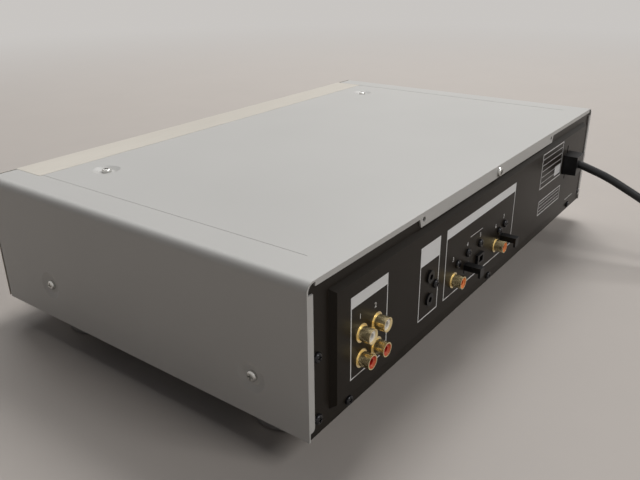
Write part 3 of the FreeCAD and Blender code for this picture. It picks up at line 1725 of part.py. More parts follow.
def upright_wall(name, x, side):
    """One side wall of the base, with a slot for each holder pin and, at the right, a sled window."""
    near, far = sorted((x + side * wall_in, x + side * wall_out), key=float)
    body = new_body(name)
    wall = sketch_across(body, "x", near, name + "_outline")
    wall_y = (holder_front + size.wall_inset, holder_rear - size.wall_inset)
    rectangle(wall, wall_y, (base_low, holder_high))
    pad(body, wall, far - near, 1, name + "_sheet")
    slots = sketch_across(body, "x", near, name + "_slots")
    for y in pin_ys:
        rectangle(slots, about(y, slot_radius * 2),
                  (slot_z - size.disc_drop - slot_radius, slot_z + slot_radius), slot_radius * SLOT_ROUNDING)
    if side > 0:
        rectangle(slots, (wall_y[0] + size.wall_leg, wall_y[1] + size.wall_leg),
                  (base_top, sled_high + size.sled_gap))
    pocket(body, slots, far - near, 1, name + "_openings")
    return body


def make_mech_base():
    """The mechanism's plate, with side walls, guide posts for the rods and studs for the slider."""
    pieces = [box("base_plate", base_x, base_y, (base_low, base_top))]
    for side in (-1, 1):
        pieces.append(upright_wall("base_wall_left" if side < 0 else "base_wall_right", spindle_x, side))
    post = size.rod_post
    post_top = rod_z + post / 2
    for x in ((rod_x[0] - post, rod_x[0]), (rod_x[1], rod_x[1] + post)):
        for y in rod_ys:
            pieces.append(box("rod_post", x, about(y, post), (base_top, post_top)))
    lead_post = (rod_x[0] - post, rod_x[0])
    pieces.append(box("lead_post", lead_post, about(lead_y, post), (base_top, post_top)))
    motor_plate = (lead_end, lead_end + size.base_wall)
    pieces.append(box("sled_motor_plate", motor_plate, about(lead_y, size.sled_motor_radius * 2),
                      (base_top, rod_z + size.sled_motor_radius)))
    for y in stud_ys:
        pieces.append(rod("slider_stud", size.stud_radius, slider_out + size.stud_proud - wall_out,
                          (spindle_x - wall_out, y, stud_z), TO_LEFT))
    tools = [rod("spindle_hole", size.spindle_boss + size.running_fit, size.base_thick,
                 (spindle_x, spindle_y, base_low))]
    tools.append(rod("loading_hole", size.shaft_radius + size.pin_clear, size.base_thick,
                     (gear_x, spindle_y, base_low)))
    tools.append(rod("lead_bore", size.lead_radius + size.running_fit, motor_plate[1] - lead_post[0],
                     (lead_post[0], lead_y, rod_z), TO_RIGHT))
    notch = (motor_plate[1], motor_plate[1] + size.sled_motor_length + size.pin_clear)
    tools.append(box("sled_motor_notch", notch, about(lead_y, (size.sled_motor_radius + size.pin_clear) * 2),
                     (base_low, base_top)))
    keep(cut("mech_base", joined("base_solid", pieces), tools))


def make_spindle():
    """The spindle motor under the base and the turntable on its shaft."""
    motor_low = base_low - size.spindle_motor_height
    boss_top = base_top + size.boss_proud
    shaft_top = boss_top + size.spindle_shaft_proud
    keep(joined("spindle_motor", [
        rod("motor_case", size.spindle_motor_radius, size.spindle_motor_height,
            (spindle_x, spindle_y, motor_low)),
        rod("motor_boss", size.spindle_boss, boss_top - base_low, (spindle_x, spindle_y, base_low)),
        rod("motor_shaft", size.spindle_shaft, shaft_top - base_low, (spindle_x, spindle_y, base_low)),
    ]))
    bore = size.spindle_shaft + size.running_fit
    seat = size.turntable_height - size.turntable_rim
    body = turned("turntable", [
        (bore, 0),
        (size.spindle_boss, 0),
        (size.spindle_boss, seat - size.turntable_rim),
        (size.turntable_radius, seat - size.turntable_rim),
        (size.turntable_radius, seat),
        (size.turntable_hub, seat),
        (size.turntable_hub, size.turntable_height),
        (bore, size.turntable_height),
    ])
    place(body, (spindle_x, spindle_y, boss_top + size.pin_clear))
    keep(body)


def make_pickup():
    """Guide rods, the sled with its lens and riser, the lead screw and its motor."""
    rods = [rod("guide_rod", size.rod_radius, rod_x[1] - rod_x[0], (rod_x[0], y, rod_z), TO_RIGHT)
            for y in rod_ys]
    keep(group("guide_rods", rods))

    ends = (sled_x, sled_x + size.sled_length)
    margin = size.sled_margin
    lens_x = sled_x + size.sled_length / 2
    block = box("sled_block", ends, (rod_ys[0] - margin, rod_ys[1] + margin), (sled_low, sled_high))
    neck = box("sled_neck", neck_x, (rod_ys[1], riser_y[1]), (sled_low, sled_high))
    riser = box("sled_riser", neck_x, riser_y, (sled_low, arm_pivot_z - size.fork_depth))
    fork_width = size.arm_width + size.pin_clear * 2
    middle = (neck_x[0] + neck_x[1]) / 2
    cheek = (size.neck_width - fork_width) / 2
    cheeks = [box("riser_cheek", about(middle + side * (fork_width + cheek) / 2, cheek), riser_y,
                  (arm_pivot_z - size.fork_depth, arm_pivot_z + size.fork_depth))
              for side in (-1, 1)]
    lens = rod("lens", size.lens_radius, size.lens_proud, (lens_x, spindle_y, sled_high))
    tools = [rod("sled_bore", size.rod_radius + size.running_fit, size.sled_length, (ends[0], y, rod_z),
                 TO_RIGHT)
             for y in rod_ys]
    tools.append(rod("nut_bore", size.lead_radius + size.lead_thread, size.neck_width,
                     (neck_x[0], lead_y, rod_z), TO_RIGHT))
    tools.append(rod("arm_bore", size.arm_pin + size.running_fit, size.neck_width,
                     (neck_x[0], arm_pivot_y, arm_pivot_z), TO_RIGHT))
    keep(cut("pickup_sled", joined("sled_solid", [block, neck, riser, lens] + cheeks), tools))

    near = rod_x[0] - size.rod_post
    keep(rod("lead_screw", size.lead_radius, lead_end - near, (near, lead_y, rod_z), TO_RIGHT))
    keep(rod("sled_motor", size.sled_motor_radius, size.sled_motor_length,
             (lead_end + size.base_wall, lead_y, rod_z), TO_RIGHT))


def make_head_arm():
    """The arm over the disc that carries the magnetic head, on a pin in the sled's riser."""
    middle = (neck_x[0] + neck_x[1]) / 2
    arm_low = arm_pivot_z - size.arm_thick / 2
    blade = box("arm_blade", about(middle, size.arm_width), (spindle_y - size.head_radius, arm_pivot_y),
                (arm_low, arm_low + size.arm_thick))
    pin = rod("arm_pivot", size.arm_pin, size.neck_width, (neck_x[0], arm_pivot_y, arm_pivot_z), TO_RIGHT)
    boss = rod("arm_boss", size.arm_pin + size.arm_thick / 2, size.arm_width,
               (middle - size.arm_width / 2, arm_pivot_y, arm_pivot_z), TO_RIGHT)
    head = rod("magnetic_head", size.head_radius, size.head_drop + size.arm_thick / 2,
               (middle, spindle_y, arm_low - size.head_drop))
    keep(joined("head_arm", [blade, pin, boss, head]))


def make_disc_holder():
    """The holder that takes the cartridge and carries it down, with a pin at each corner."""
    x = about(spindle_x, holder_half * 2)
    sheet = size.holder_sheet
    hollow_x = (x[0] + sheet, x[1] - sheet)
    outer = box("holder_block", x, (holder_front, holder_rear), (holder_low, holder_high))
    hollow = box("holder_hollow", hollow_x, (holder_front, holder_rear - sheet),
                 (holder_low + sheet, holder_high - sheet))
    below = box("holder_underside", (hollow_x[0] + size.holder_lip, hollow_x[1] - size.holder_lip),
                (holder_front, holder_rear), (holder_low, holder_low + sheet))
    window_x = (sled_x - size.window_margin, hollow_x[1] - sheet)
    window = box("holder_window", window_x,
                 (spindle_y - size.head_radius - size.window_margin,
                  spindle_y + size.head_radius + size.window_run), (holder_high - sheet, holder_high))
    open_holder = cut("holder_open", outer, [hollow, below, window])
    pins = []
    for side, reach in ((-1, slider_out + size.stud_proud), (1, wall_out + size.stud_proud)):
        for y in pin_ys:
            start = spindle_x + side * (holder_half - sheet / 2)
            pins.append(rod("holder_pin", size.holder_pin / 2, reach - holder_half + sheet / 2,
                            (start, y, slot_z), TO_RIGHT if side > 0 else TO_LEFT))
    keep(joined("disc_holder", [open_holder] + pins))


def make_cam_slider():
    """The plate that slides rearwards and lowers the holder, with its rack along the lower edge."""
    body = new_body("slider_plate")
    near = spindle_x - slider_out
    plate = sketch_across(body, "x", near, "slider_outline")
    slope = size.disc_drop / size.slider_travel
    end = slot_radius * 1.1
    low = base_top + size.slider_lift
    margin = slot_radius + size.slider_margin
    plate_y = (pin_ys[0] - size.slider_travel - margin, pin_ys[1] + margin)
    rectangle(plate, plate_y, (low, slot_z + margin + end * slope))
    pad(body, plate, size.slider_thick, 1, "slider_sheet")
    slots = sketch_across(body, "x", near, "slider_slots")
    for y in pin_ys:
        rear_end = y + slot_radius
        front_end = y - size.slider_travel - slot_radius
        high_z = slot_z + slope * slot_radius
        low_z = slot_z - size.disc_drop - slope * slot_radius
        outline(slots, [
            (front_end, low_z - end),
            (rear_end, high_z - end),
            (rear_end, high_z + end),
            (front_end, low_z + end),
        ])
    guide = size.stud_radius + size.pin_clear
    for y in stud_ys:
        rectangle(slots, (y - size.slider_travel - guide, y + guide), about(stud_z, guide * 2), guide * SLOT_ROUNDING)
    pocket(body, slots, size.slider_thick, 1, "slider_openings")
    keep(joined("cam_slider", [body, make_rack()]))


def make_rack():
    """The slider's rack: straight teeth along the edge of its flange, a gap facing the gear."""
    module = size.gear_module
    pitch = module * math.pi
    count = int(float(size.slider_travel / pitch)) + RACK_SPARE_TEETH
    root = spindle_x - (slider_out + size.slider_flange) + module * TOOTH_ROOT
    tip = root - module * (TOOTH_ROOT + TOOTH_TIP)
    body = new_body("rack")
    profile = sketch_across(body, "z", gear_low, "rack_outline")
    start = spindle_y - size.slider_travel - pitch * 2
    narrow = pitch * RACK_TIP_WIDTH
    broad = pitch * RACK_ROOT_WIDTH
    corners = [(spindle_x - slider_in, start - pitch / 2), (spindle_x - slider_in, start + pitch * count)]
    corners.append((root, start + pitch * count))
    shift = spindle_y - pitch * 0.5 - start
    first = start + shift - pitch * math.floor(float(shift / pitch))
    for step in reversed(range(count)):
        middle = first + pitch * step
        if float(middle + pitch / 2) > float(start + pitch * count):
            continue
        corners += [(root, middle + broad), (tip, middle + narrow), (tip, middle - narrow),
                    (root, middle - broad)]
    corners.append((root, start - pitch / 2))
    outline(profile, corners)
    pad(body, profile, size.gear_thick, 1, "rack_teeth")
    return body


def make_loading():
    """The loading motor and its gear, which drives the slider's rack."""
    side = size.loading_body
    shaft_top = gear_low + size.gear_thick + size.pin_clear
    keep(joined("loading_motor", [
        box("loading_case", about(gear_x, side), about(spindle_y, side), (base_low - size.loading_height,
                                                                         base_low)),
        rod("loading_shaft", size.shaft_radius, shaft_top - base_low, (gear_x, spindle_y, base_low)),
    ]))
    module = size.gear_module
    teeth = int(float(size.gear_teeth))
    pitch_radius = module * size.gear_teeth / 2
    body = new_body("loading_gear")
    profile = sketch_across(body, "z", gear_low, "gear_outline")
    corners = []
    flank = ((GEAR_TIP_WIDTH, TOOTH_TIP), (GEAR_MIDDLE_WIDTH, 0.0), (GEAR_ROOT_WIDTH, -TOOTH_ROOT))
    stops = [(-turn, height) for turn, height in reversed(flank)] + list(flank)
    for tooth in range(teeth):
        for turn, height in stops:
            angle = (tooth + turn) * 2 * math.pi / teeth
            radius = pitch_radius + module * height
            corners.append((gear_x + radius * math.cos(angle), spindle_y + radius * math.sin(angle)))
    outline(profile, corners)
    pad(body, profile, size.gear_thick, 1, "gear_teeth")
    hub = sketch_across(body, "z", gear_low, "gear_hub_outline")
    circle(hub, (gear_x, spindle_y), size.gear_hub)
    pad(body, hub, size.gear_lift - size.pin_clear, -1, "gear_hub")
    bore = sketch_across(body, "z", gear_low + size.gear_thick, "gear_bore_outline")
    circle(bore, (gear_x, spindle_y), size.shaft_radius + size.running_fit)
    pocket(body, bore, size.gear_thick + size.gear_lift, -1, "gear_bore")
    keep(body)


# Building and export

def check_all():
    """Stop if any object failed, or any piece is empty or invalid."""
    doc.recompute()
    for thing in doc.Objects:
        faults = [state for state in thing.State if state in ("Invalid", "Error")]
        if faults:
            raise RuntimeError("%s is %s" % (thing.Name, ", ".join(faults)))
    for piece in nodes:
        if piece.Shape.isNull() or not piece.Shape.isValid() or piece.Shape.Volume <= 0:
            raise RuntimeError("%s has no valid shape" % piece.Label)


def check_pockets():
    """Stop if a pocket took nothing away."""
    for thing in doc.Objects:
        if thing.TypeId != "PartDesign::Pocket":
            continue
        before = thing.BaseFeature.Shape.Volume
        if thing.Shape.Volume > before - 0.001:
            raise RuntimeError("%s cuts nothing" % thing.Name)


def export_all():
    """Write one file for each piece."""
    os.makedirs("parts", exist_ok=True)
    for piece in nodes:
        piece.Shape.exportStep("parts/%s.step" % piece.Label)
    print("%d pieces written" % len(nodes))


make_top_cover()
make_bottom_chassis()
make_rear_panel()
make_feet()
make_screws()
make_front_panel()
make_front_frame()
make_display()
make_front_board()
for name, x, z, wide, tall in buttons:
    make_button(name, x, z, wide, tall)
make_knobs()
make_timer_switch()
make_headphone_socket()
make_flap()
make_line_sockets()
make_control_sockets()
make_optical_sockets()
make_lead()
make_supply()
make_main_board()
make_mech_bracket()
make_mech_base()
make_spindle()
make_pickup()
make_head_arm()
make_disc_holder()
make_cam_slider()
make_loading()
check_all()
check_pockets()
export_all()
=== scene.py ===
import json
import math

import bpy
from bpy.props import FloatProperty, FloatVectorProperty, PointerProperty
from mathutils import Euler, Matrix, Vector


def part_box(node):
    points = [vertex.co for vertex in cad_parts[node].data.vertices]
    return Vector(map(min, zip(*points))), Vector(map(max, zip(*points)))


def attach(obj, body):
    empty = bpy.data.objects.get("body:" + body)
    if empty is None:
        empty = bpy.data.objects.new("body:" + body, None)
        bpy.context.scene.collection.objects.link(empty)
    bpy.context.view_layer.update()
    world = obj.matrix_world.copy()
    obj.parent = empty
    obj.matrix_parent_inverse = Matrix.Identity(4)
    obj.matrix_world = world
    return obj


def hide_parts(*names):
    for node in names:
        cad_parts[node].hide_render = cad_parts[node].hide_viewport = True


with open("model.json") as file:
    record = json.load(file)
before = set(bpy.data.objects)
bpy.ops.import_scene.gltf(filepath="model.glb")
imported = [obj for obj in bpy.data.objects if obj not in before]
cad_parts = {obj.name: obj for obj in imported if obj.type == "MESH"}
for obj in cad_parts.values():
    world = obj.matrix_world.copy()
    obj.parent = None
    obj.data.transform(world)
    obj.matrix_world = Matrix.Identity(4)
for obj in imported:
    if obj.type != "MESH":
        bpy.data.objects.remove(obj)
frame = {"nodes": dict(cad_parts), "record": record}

bl_info = {
    "name": "Minidisc deck",
    "version": (1, 0, 0),
    "blender": (4, 5, 0),
    "location": "View3D > Sidebar > Deck",
    "description": "Finishes, mains lead, printed marks and stage of a home minidisc deck",
    "category": "Object",
}

# Lead route, in metres: sideways and rearward from its start, and the share of its whole fall
LEAD_START = (-0.1475, 0.1445, 0.074)
LEAD_ROUTE = [
    (0.0, 0.0, 0.0),
    (-0.0003, 0.014, 0.064),
    (-0.0008, 0.028, 0.136),
    (-0.0015, 0.044, 0.257),
    (-0.0023, 0.061, 0.389),
    (-0.0033, 0.0775, 0.543),
    (-0.0043, 0.0935, 0.709),
    (-0.0049, 0.1085, 0.853),
    (-0.0051, 0.1225, 0.947),
    (-0.0049, 0.136, 0.993),
    (-0.0047, 0.146, 1.0),
]
# The same for the tail, from the coil's end, with the share of its rise to the plug
TAIL_ROUTE = [
    (0.0, 0.0, 0.0),
    (0.0003, 0.0195, 0.03),
    (-0.008, 0.041, 0.2),
    (-0.0245, 0.0575, 0.6),
    (-0.0445, 0.066, 0.9),
    (-0.063, 0.066, 1.0),
]
POINTS_PER_TURN = 24
# Fineness of the lead's tube, round it and between two points
TUBE_STEPS = 5
LINE_STEPS = 6

# Plug: its body's share of its length, then each step's share and how far its end is scaled
PLUG_BODY = 0.36
PLUG_STEPS = [(0.39, 0.42, 0.9), (0.25, 0.9, 0.92)]
PLUG_ROUNDING = 0.0022
ROUNDING_STEPS = 4
SMOOTH_BELOW = math.radians(35)

PRINT_THICK = 0.00005

# Rear prints, in metres. Each socket field has its ends in x and its header's height in bands
FIELD_LOW = 0.039
FIELD_TOP = 0.087
SOCKET_FIELDS = [((0.1482, 0.1834), 1), ((0.0881, 0.1122), 2), ((-0.0305, 0.0796), 1)]
# Each plate has its ends in x, its ends in z and its number of rules
PLATES = [((-0.134, -0.0848), (0.0653, 0.0942), 5), ((-0.1392, -0.0868), (0.0425, 0.0547), 3)]
PLATE_MARGIN = 0.002
PLATE_LABEL = ((-0.132, -0.118), (0.068, 0.076))
PORTS_RULE = (0.025, 0.044)
PORTS_RULE_HEIGHT = 0.0702
CORNER_STRIP = ((-0.1795, -0.1595), (0.0347, 0.0352))
# Plain numbers, from the near socket on
NUMBER_PLACES = [(0.1747, 0.073), (0.1603, 0.073), (0.0683, 0.0635), (0.048, 0.0665),
                 (0.028, 0.0665), (0.0014, 0.0635), (-0.0123, 0.0665)]

# Button symbols: kind, place aside, width, height, corners and turn in degrees
SYMBOLS = {
    "play": [("polygon", 0, 0.0042, 0.0042, 3, -30)],
    "pause": [("rectangle", -0.0011, 0.0011, 0.0038, 4, 0),
              ("rectangle", 0.0011, 0.0011, 0.0038, 4, 0)],
    "stop": [("rectangle", 0, 0.0036, 0.0036, 4, 0)],
    "record": [("polygon", 0, 0.0036, 0.0036, 32, 0)],
    "eject": [("polygon", 0, 0.0036, 0.0032, 3, 0)],
}
# Marks round the level knob, over its whole turn, in degrees
LEVEL_MARKS = 11
LEVEL_TURN = 300

# Plain figures of the display, and how far they stand before its tube
DISPLAY_FIGURES = "01   00:00"
FIGURE_GAP = 0.0002

# Shader patterns: where noise counts as darkest and palest, relief, and shares of the grain
NOISE_LOW = 0.3
NOISE_HIGH = 0.7
RELIEF_DEPTH = 0.0001
SLOW_SCALE = 9
SLOW_SHARE = 0.55
LINE_STRETCH = (0.03, 1, 1)

# Lamps, which all look at the deck: name, place and width, in metres
LAMPS = [
    ("Key", (-1.4, -0.5, 2.2), 1.1),
    ("Rear", (-0.1, 2.1, 1.9), 1.0),
    ("Front", (-0.7, -1.8, 2.0), 1.1),
]
# Camera: film in millimetres, and the nearest and furthest things that it sees
FILM_WIDTH = 36
CLIP_START = 0.01
CLIP_END = 50

# Turns of what is printed on the front and on the rear panel
FRONT_TURN = (math.radians(90), 0, 0)
REAR_TURN = (math.radians(-90), 0, 0)
REAR_TEXT_TURN = (math.radians(90), 0, math.radians(180))


def colour(name, value, words):
    """A colour that a user can change."""
    return FloatVectorProperty(name=name, description=words, default=value, subtype="COLOR",
                               size=3, min=0, max=1)


def length(name, value, words):
    """A length that a user can change."""
    return FloatProperty(name=name, description=words, default=value, unit="LENGTH", precision=5)


def number(name, value, words):
    """A plain number that a user can change."""
    return FloatProperty(name=name, description=words, default=value)


class DeckColours(bpy.types.PropertyGroup):
    """Colours of the deck's finishes."""

    cover: colour("Cover", (0.55, 0.54, 0.515), "Metallic paint of the folded cover")
    face: colour("Face", (0.62, 0.585, 0.52), "Satin metal of the front")
    panel: colour("Rear panel", (0.015, 0.0115, 0.008), "Black paint of the rear panel")
    marks: colour("Marks", (0.80, 0.80, 0.79), "Print on the rear panel")
    gold: colour("Gold", (0.98, 0.82, 0.48), "Plating of the socket shells")
    white: colour("White insert", (0.90, 0.88, 0.84), "Inserts of the upper line sockets")
    red: colour("Red insert", (0.55, 0.03, 0.02), "Inserts of the lower line sockets")
    orange: colour("Orange insert", (0.80, 0.17, 0.03), "Inserts of the coaxial sockets")
    plastic: colour("Black plastic", (0.007, 0.007, 0.0075), "Moulded bodies, caps and frame")
    rubber: colour("Rubber", (0.010, 0.011, 0.012), "Mains lead and foot pads")
    foot: colour("Feet", (0.36, 0.35, 0.34), "Silver coating of the feet")
    zinc: colour("Zinc", (0.50, 0.51, 0.52), "Sheet of the chassis and brackets")
    steel: colour("Steel", (0.62, 0.62, 0.62), "Rods, motors and mechanism")
    screw: colour("Screws", (0.60, 0.60, 0.58), "Bright screws of the case")
    oxide: colour("Black screws", (0.03, 0.03, 0.033), "Screws of the rear panel")
    window: colour("Window", (0.30, 0.30, 0.32), "Smoked window of the display")
    tube: colour("Display tube", (0.03, 0.05, 0.05), "Glass behind the window")
    board: colour("Boards", (0.03, 0.11, 0.05), "Solder resist of the boards")
    core: colour("Core", (0.10, 0.10, 0.11), "Iron of the transformer")
    tape: colour("Winding tape", (0.62, 0.45, 0.08), "Tape round the winding")
    sleeve: colour("Capacitors", (0.02, 0.03, 0.09), "Sleeves of the capacitors")
    nylon: colour("Nylon", (0.70, 0.68, 0.60), "Gear, turntable and board posts")
    nickel: colour("Nickel", (0.64, 0.60, 0.52), "Pins of the plug")
    ink: colour("Symbols", (0.03, 0.03, 0.03), "Symbols on the front")
    figures: colour("Figures", (0.25, 0.75, 0.70), "Figures of the display, unlit")
    glow: colour("Lit figures", (0.25, 0.9, 0.8), "Light of the display's figures")
    floor: colour("Floor", (0.50, 0.455, 0.415), "Plain floor of the stage")
    backdrop: colour("Backdrop", (0.58, 0.56, 0.54), "Background, and the floor far from the deck")
    sky: colour("Fill", (0.9, 0.92, 1.0), "Weak light from all round")


class DeckLead(bpy.types.PropertyGroup):
    """Sizes of the mains lead."""

    width: length("Width", 0.0065, "Diameter of the lead")
    pitch: length("Turn pitch", 0.0072, "Distance between neighbouring turns")
    layer: length("Layer pitch", 0.007, "Height between the two layers")
    inner: length("Inner radius", 0.026, "Least radius of the coil's line")
    turns: number("Turns", 6, "Turns of the coil")
    inward: number("Inward turns", 3.25, "Turns of the upper layer")
    climb: number("Climb", 0.5, "Turns between the layers")
    total: length("Length", 1.66, "Whole length of the lead")


class DeckMarks(bpy.types.PropertyGroup):
    """Sizes of the printed marks."""

    line: length("Line", 0.0007, "Line of the printed frames")
    rule: length("Rule", 0.00035, "Line of the plates' rules")
    header: length("Header", 0.0058, "Height of a header band")
    number_size: length("Numbers", 0.0042, "Size of the plain numbers")
    figure_size: length("Figures", 0.014, "Size of the display's figures")
    tick_width: length("Tick width", 0.0005, "Width of the marks round the level knob")
    tick_height: length("Tick height", 0.002, "Height of the marks round the level knob")
    tick_gap: length("Tick gap", 0.0025, "From the knob's edge to the middle of its marks")


class DeckCamera(bpy.types.PropertyGroup):
    """Place and lens of the camera."""

    place: FloatVectorProperty(name="Place", description="Where the camera stands",
                               default=(0.4204, 0.2945, 0.2420), subtype="XYZ", unit="LENGTH")
    aim: FloatVectorProperty(name="Aim", description="What the camera looks at",
                             default=(0.0665, 0.0320, 0.0500), subtype="XYZ", unit="LENGTH")
    roll: FloatProperty(name="Roll", description="Turn about the line of sight",
                        default=math.radians(-0.603), subtype="ANGLE")
    lens: number("Lens", 37.47, "Focal length on a 36 mm wide film, in millimetres")


class DeckStage(bpy.types.PropertyGroup):
    """Sizes and light of the stage."""

    key: number("Key", 41, "Power of the key lamp, in watts")
    rear: number("Rear", 24, "Power of the lamp behind the deck, in watts")
    front: number("Front", 10, "Power of the lamp before the deck, in watts")
    fill: number("Fill", 0.08, "Strength of the light from all round")
    floor_size: length("Floor", 30, "Side of the floor")
    fade_start: length("Fade start", 0.5, "Where the floor starts to take the backdrop's colour")
    fade_end: length("Fade end", 2.0, "Where the floor has the backdrop's colour")


# Helpers

def clear_selection():
    """Leave edit mode and deselect everything."""
    if bpy.context.mode != "OBJECT":
        bpy.ops.object.mode_set(mode="OBJECT")
    bpy.ops.object.select_all(action="DESELECT")


def activate(piece):
    """Select one piece alone."""
    clear_selection()
    piece.select_set(True)
    bpy.context.view_layer.objects.active = piece


def settle(piece, name, body, material):
    """Put a piece's place into its mesh, and give it its name, body, slot and finish."""
    activate(piece)
    bpy.ops.object.transform_apply(location=True, rotation=True, scale=True)
    piece.name = name
    piece.data.name = name
    piece.data.materials.clear()
    piece.data.materials.append(material)
    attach(piece, body)


def join_pieces(pieces):
    """Join several meshes into the first."""
    clear_selection()
    for piece in pieces:
        piece.select_set(True)
    bpy.context.view_layer.objects.active = pieces[0]
    bpy.ops.object.join()
    return pieces[0]


def thicken(piece, thickness):
    """Give a flat print its thickness, with its face where it was drawn or just in front."""
    activate(piece)
    modifier = piece.modifiers.new("Thickness", "SOLIDIFY")
    modifier.thickness = thickness
    modifier.offset = 1
    bpy.ops.object.modifier_apply(modifier="Thickness")


def flat_print(kind, place, turn, width, height, line=0, corners=3):
    """A flat printed mark: a rectangle or polygon, or its outline if a line width is given."""
    clear_selection()
    if kind == "rectangle":
        bpy.ops.mesh.primitive_plane_add(size=1, location=place, rotation=turn)
    else:
        bpy.ops.mesh.primitive_circle_add(vertices=corners, radius=0.5, fill_type="NGON",
                                          location=place, rotation=turn)
    mark = bpy.context.object
    mark.scale = (width, height, 1)
    bpy.ops.object.transform_apply(location=False, rotation=False, scale=True)
    if line:
        bpy.ops.object.mode_set(mode="EDIT")
        bpy.ops.mesh.select_all(action="SELECT")
        bpy.ops.mesh.inset(thickness=line)
        bpy.ops.mesh.delete(type="FACE")
        bpy.ops.object.mode_set(mode="OBJECT")
    return mark


def settings():
    """The deck's groups of settings, by name."""
    scene = bpy.context.scene
    return {label: getattr(scene, label) for label in SETTINGS}


def colours():
    """The deck's colours."""
    return bpy.context.scene.deck_colours


# Finishes

def node_group(name, numbers):
    """A shader group that takes a colour and numbers, and gives colour, roughness and normal."""
    group = bpy.data.node_groups.get(name)
    if group:
        return group, None, None
    group = bpy.data.node_groups.new(name, "ShaderNodeTree")
    group.interface.new_socket("Colour", in_out="INPUT", socket_type="NodeSocketColor")
    for label, value in numbers:
        socket = group.interface.new_socket(label, in_out="INPUT", socket_type="NodeSocketFloat")
        socket.default_value = value
    group.interface.new_socket("Colour", in_out="OUTPUT", socket_type="NodeSocketColor")
    group.interface.new_socket("Roughness", in_out="OUTPUT", socket_type="NodeSocketFloat")
    group.interface.new_socket("Normal", in_out="OUTPUT", socket_type="NodeSocketVector")
    return group, group.nodes.new("NodeGroupInput"), group.nodes.new("NodeGroupOutput")


def vary(group, source, inward, outward, height):
    """Turn a pattern into small changes of colour, roughness and relief, and wire them out."""
    link = group.links.new
    shade = group.nodes.new("ShaderNodeMapRange")
    shade.inputs["From Min"].default_value = NOISE_LOW
    shade.inputs["From Max"].default_value = NOISE_HIGH
    less = group.nodes.new("ShaderNodeMath")
    less.operation = "SUBTRACT"
    less.inputs[0].default_value = 1
    more = group.nodes.new("ShaderNodeMath")
    more.operation = "ADD"
    more.inputs[0].default_value = 1
    link(inward.outputs["Spread"], less.inputs[1])
    link(inward.outputs["Spread"], more.inputs[1])
    link(source, shade.inputs["Value"])
    link(less.outputs[0], shade.inputs["To Min"])
    link(more.outputs[0], shade.inputs["To Max"])
    tint = group.nodes.new("ShaderNodeVectorMath")
    tint.operation = "SCALE"
    link(inward.outputs["Colour"], tint.inputs[0])
    link(shade.outputs["Result"], tint.inputs["Scale"])
    link(tint.outputs["Vector"], outward.inputs["Colour"])
    rough = group.nodes.new("ShaderNodeMath")
    rough.operation = "MULTIPLY"
    link(inward.outputs["Roughness"], rough.inputs[0])
    link(shade.outputs["Result"], rough.inputs[1])
    link(rough.outputs[0], outward.inputs["Roughness"])
    bump = group.nodes.new("ShaderNodeBump")
    bump.inputs["Distance"].default_value = RELIEF_DEPTH
    link(inward.outputs["Relief"], bump.inputs["Strength"])
    link(height, bump.inputs["Height"])
    link(bump.outputs["Normal"], outward.inputs["Normal"])


def grain_group():
    """Fine grain with a slow unevenness over it, for paint, mouldings and rubber."""
    group, inward, outward = node_group("Fine grain", (("Roughness", 0.5), ("Spread", 0.05),
                                                       ("Scale", 2000), ("Relief", 0.2)))
    if inward is None:
        return group
    place = group.nodes.new("ShaderNodeTexCoord")
    fine = group.nodes.new("ShaderNodeTexNoise")
    fine.inputs["Detail"].default_value = 3
    slow = group.nodes.new("ShaderNodeTexNoise")
    slow.inputs["Scale"].default_value = SLOW_SCALE
    both = group.nodes.new("ShaderNodeMix")
    both.inputs["Factor"].default_value = SLOW_SHARE
    link = group.links.new
    link(place.outputs["Object"], fine.inputs["Vector"])
    link(place.outputs["Object"], slow.inputs["Vector"])
    link(inward.outputs["Scale"], fine.inputs["Scale"])
    link(fine.outputs["Fac"], both.inputs["A"])
    link(slow.outputs["Fac"], both.inputs["B"])
    vary(group, both.outputs["Result"], inward, outward, fine.outputs["Fac"])
    return group


def streak_group():
    """Fine lines along x, for satin and rolled metal."""
    group, inward, outward = node_group("Satin lines", (("Roughness", 0.4), ("Spread", 0.06),
                                                        ("Scale", 900), ("Relief", 0.15)))
    if inward is None:
        return group
    place = group.nodes.new("ShaderNodeTexCoord")
    stretch = group.nodes.new("ShaderNodeMapping")
    stretch.inputs["Scale"].default_value = LINE_STRETCH
    lines = group.nodes.new("ShaderNodeTexNoise")
    lines.inputs["Detail"].default_value = 4
    link = group.links.new
    link(place.outputs["Object"], stretch.inputs["Vector"])
    link(stretch.outputs["Vector"], lines.inputs["Vector"])
    link(inward.outputs["Scale"], lines.inputs["Scale"])
    vary(group, lines.outputs["Fac"], inward, outward, lines.outputs["Fac"])
    return group


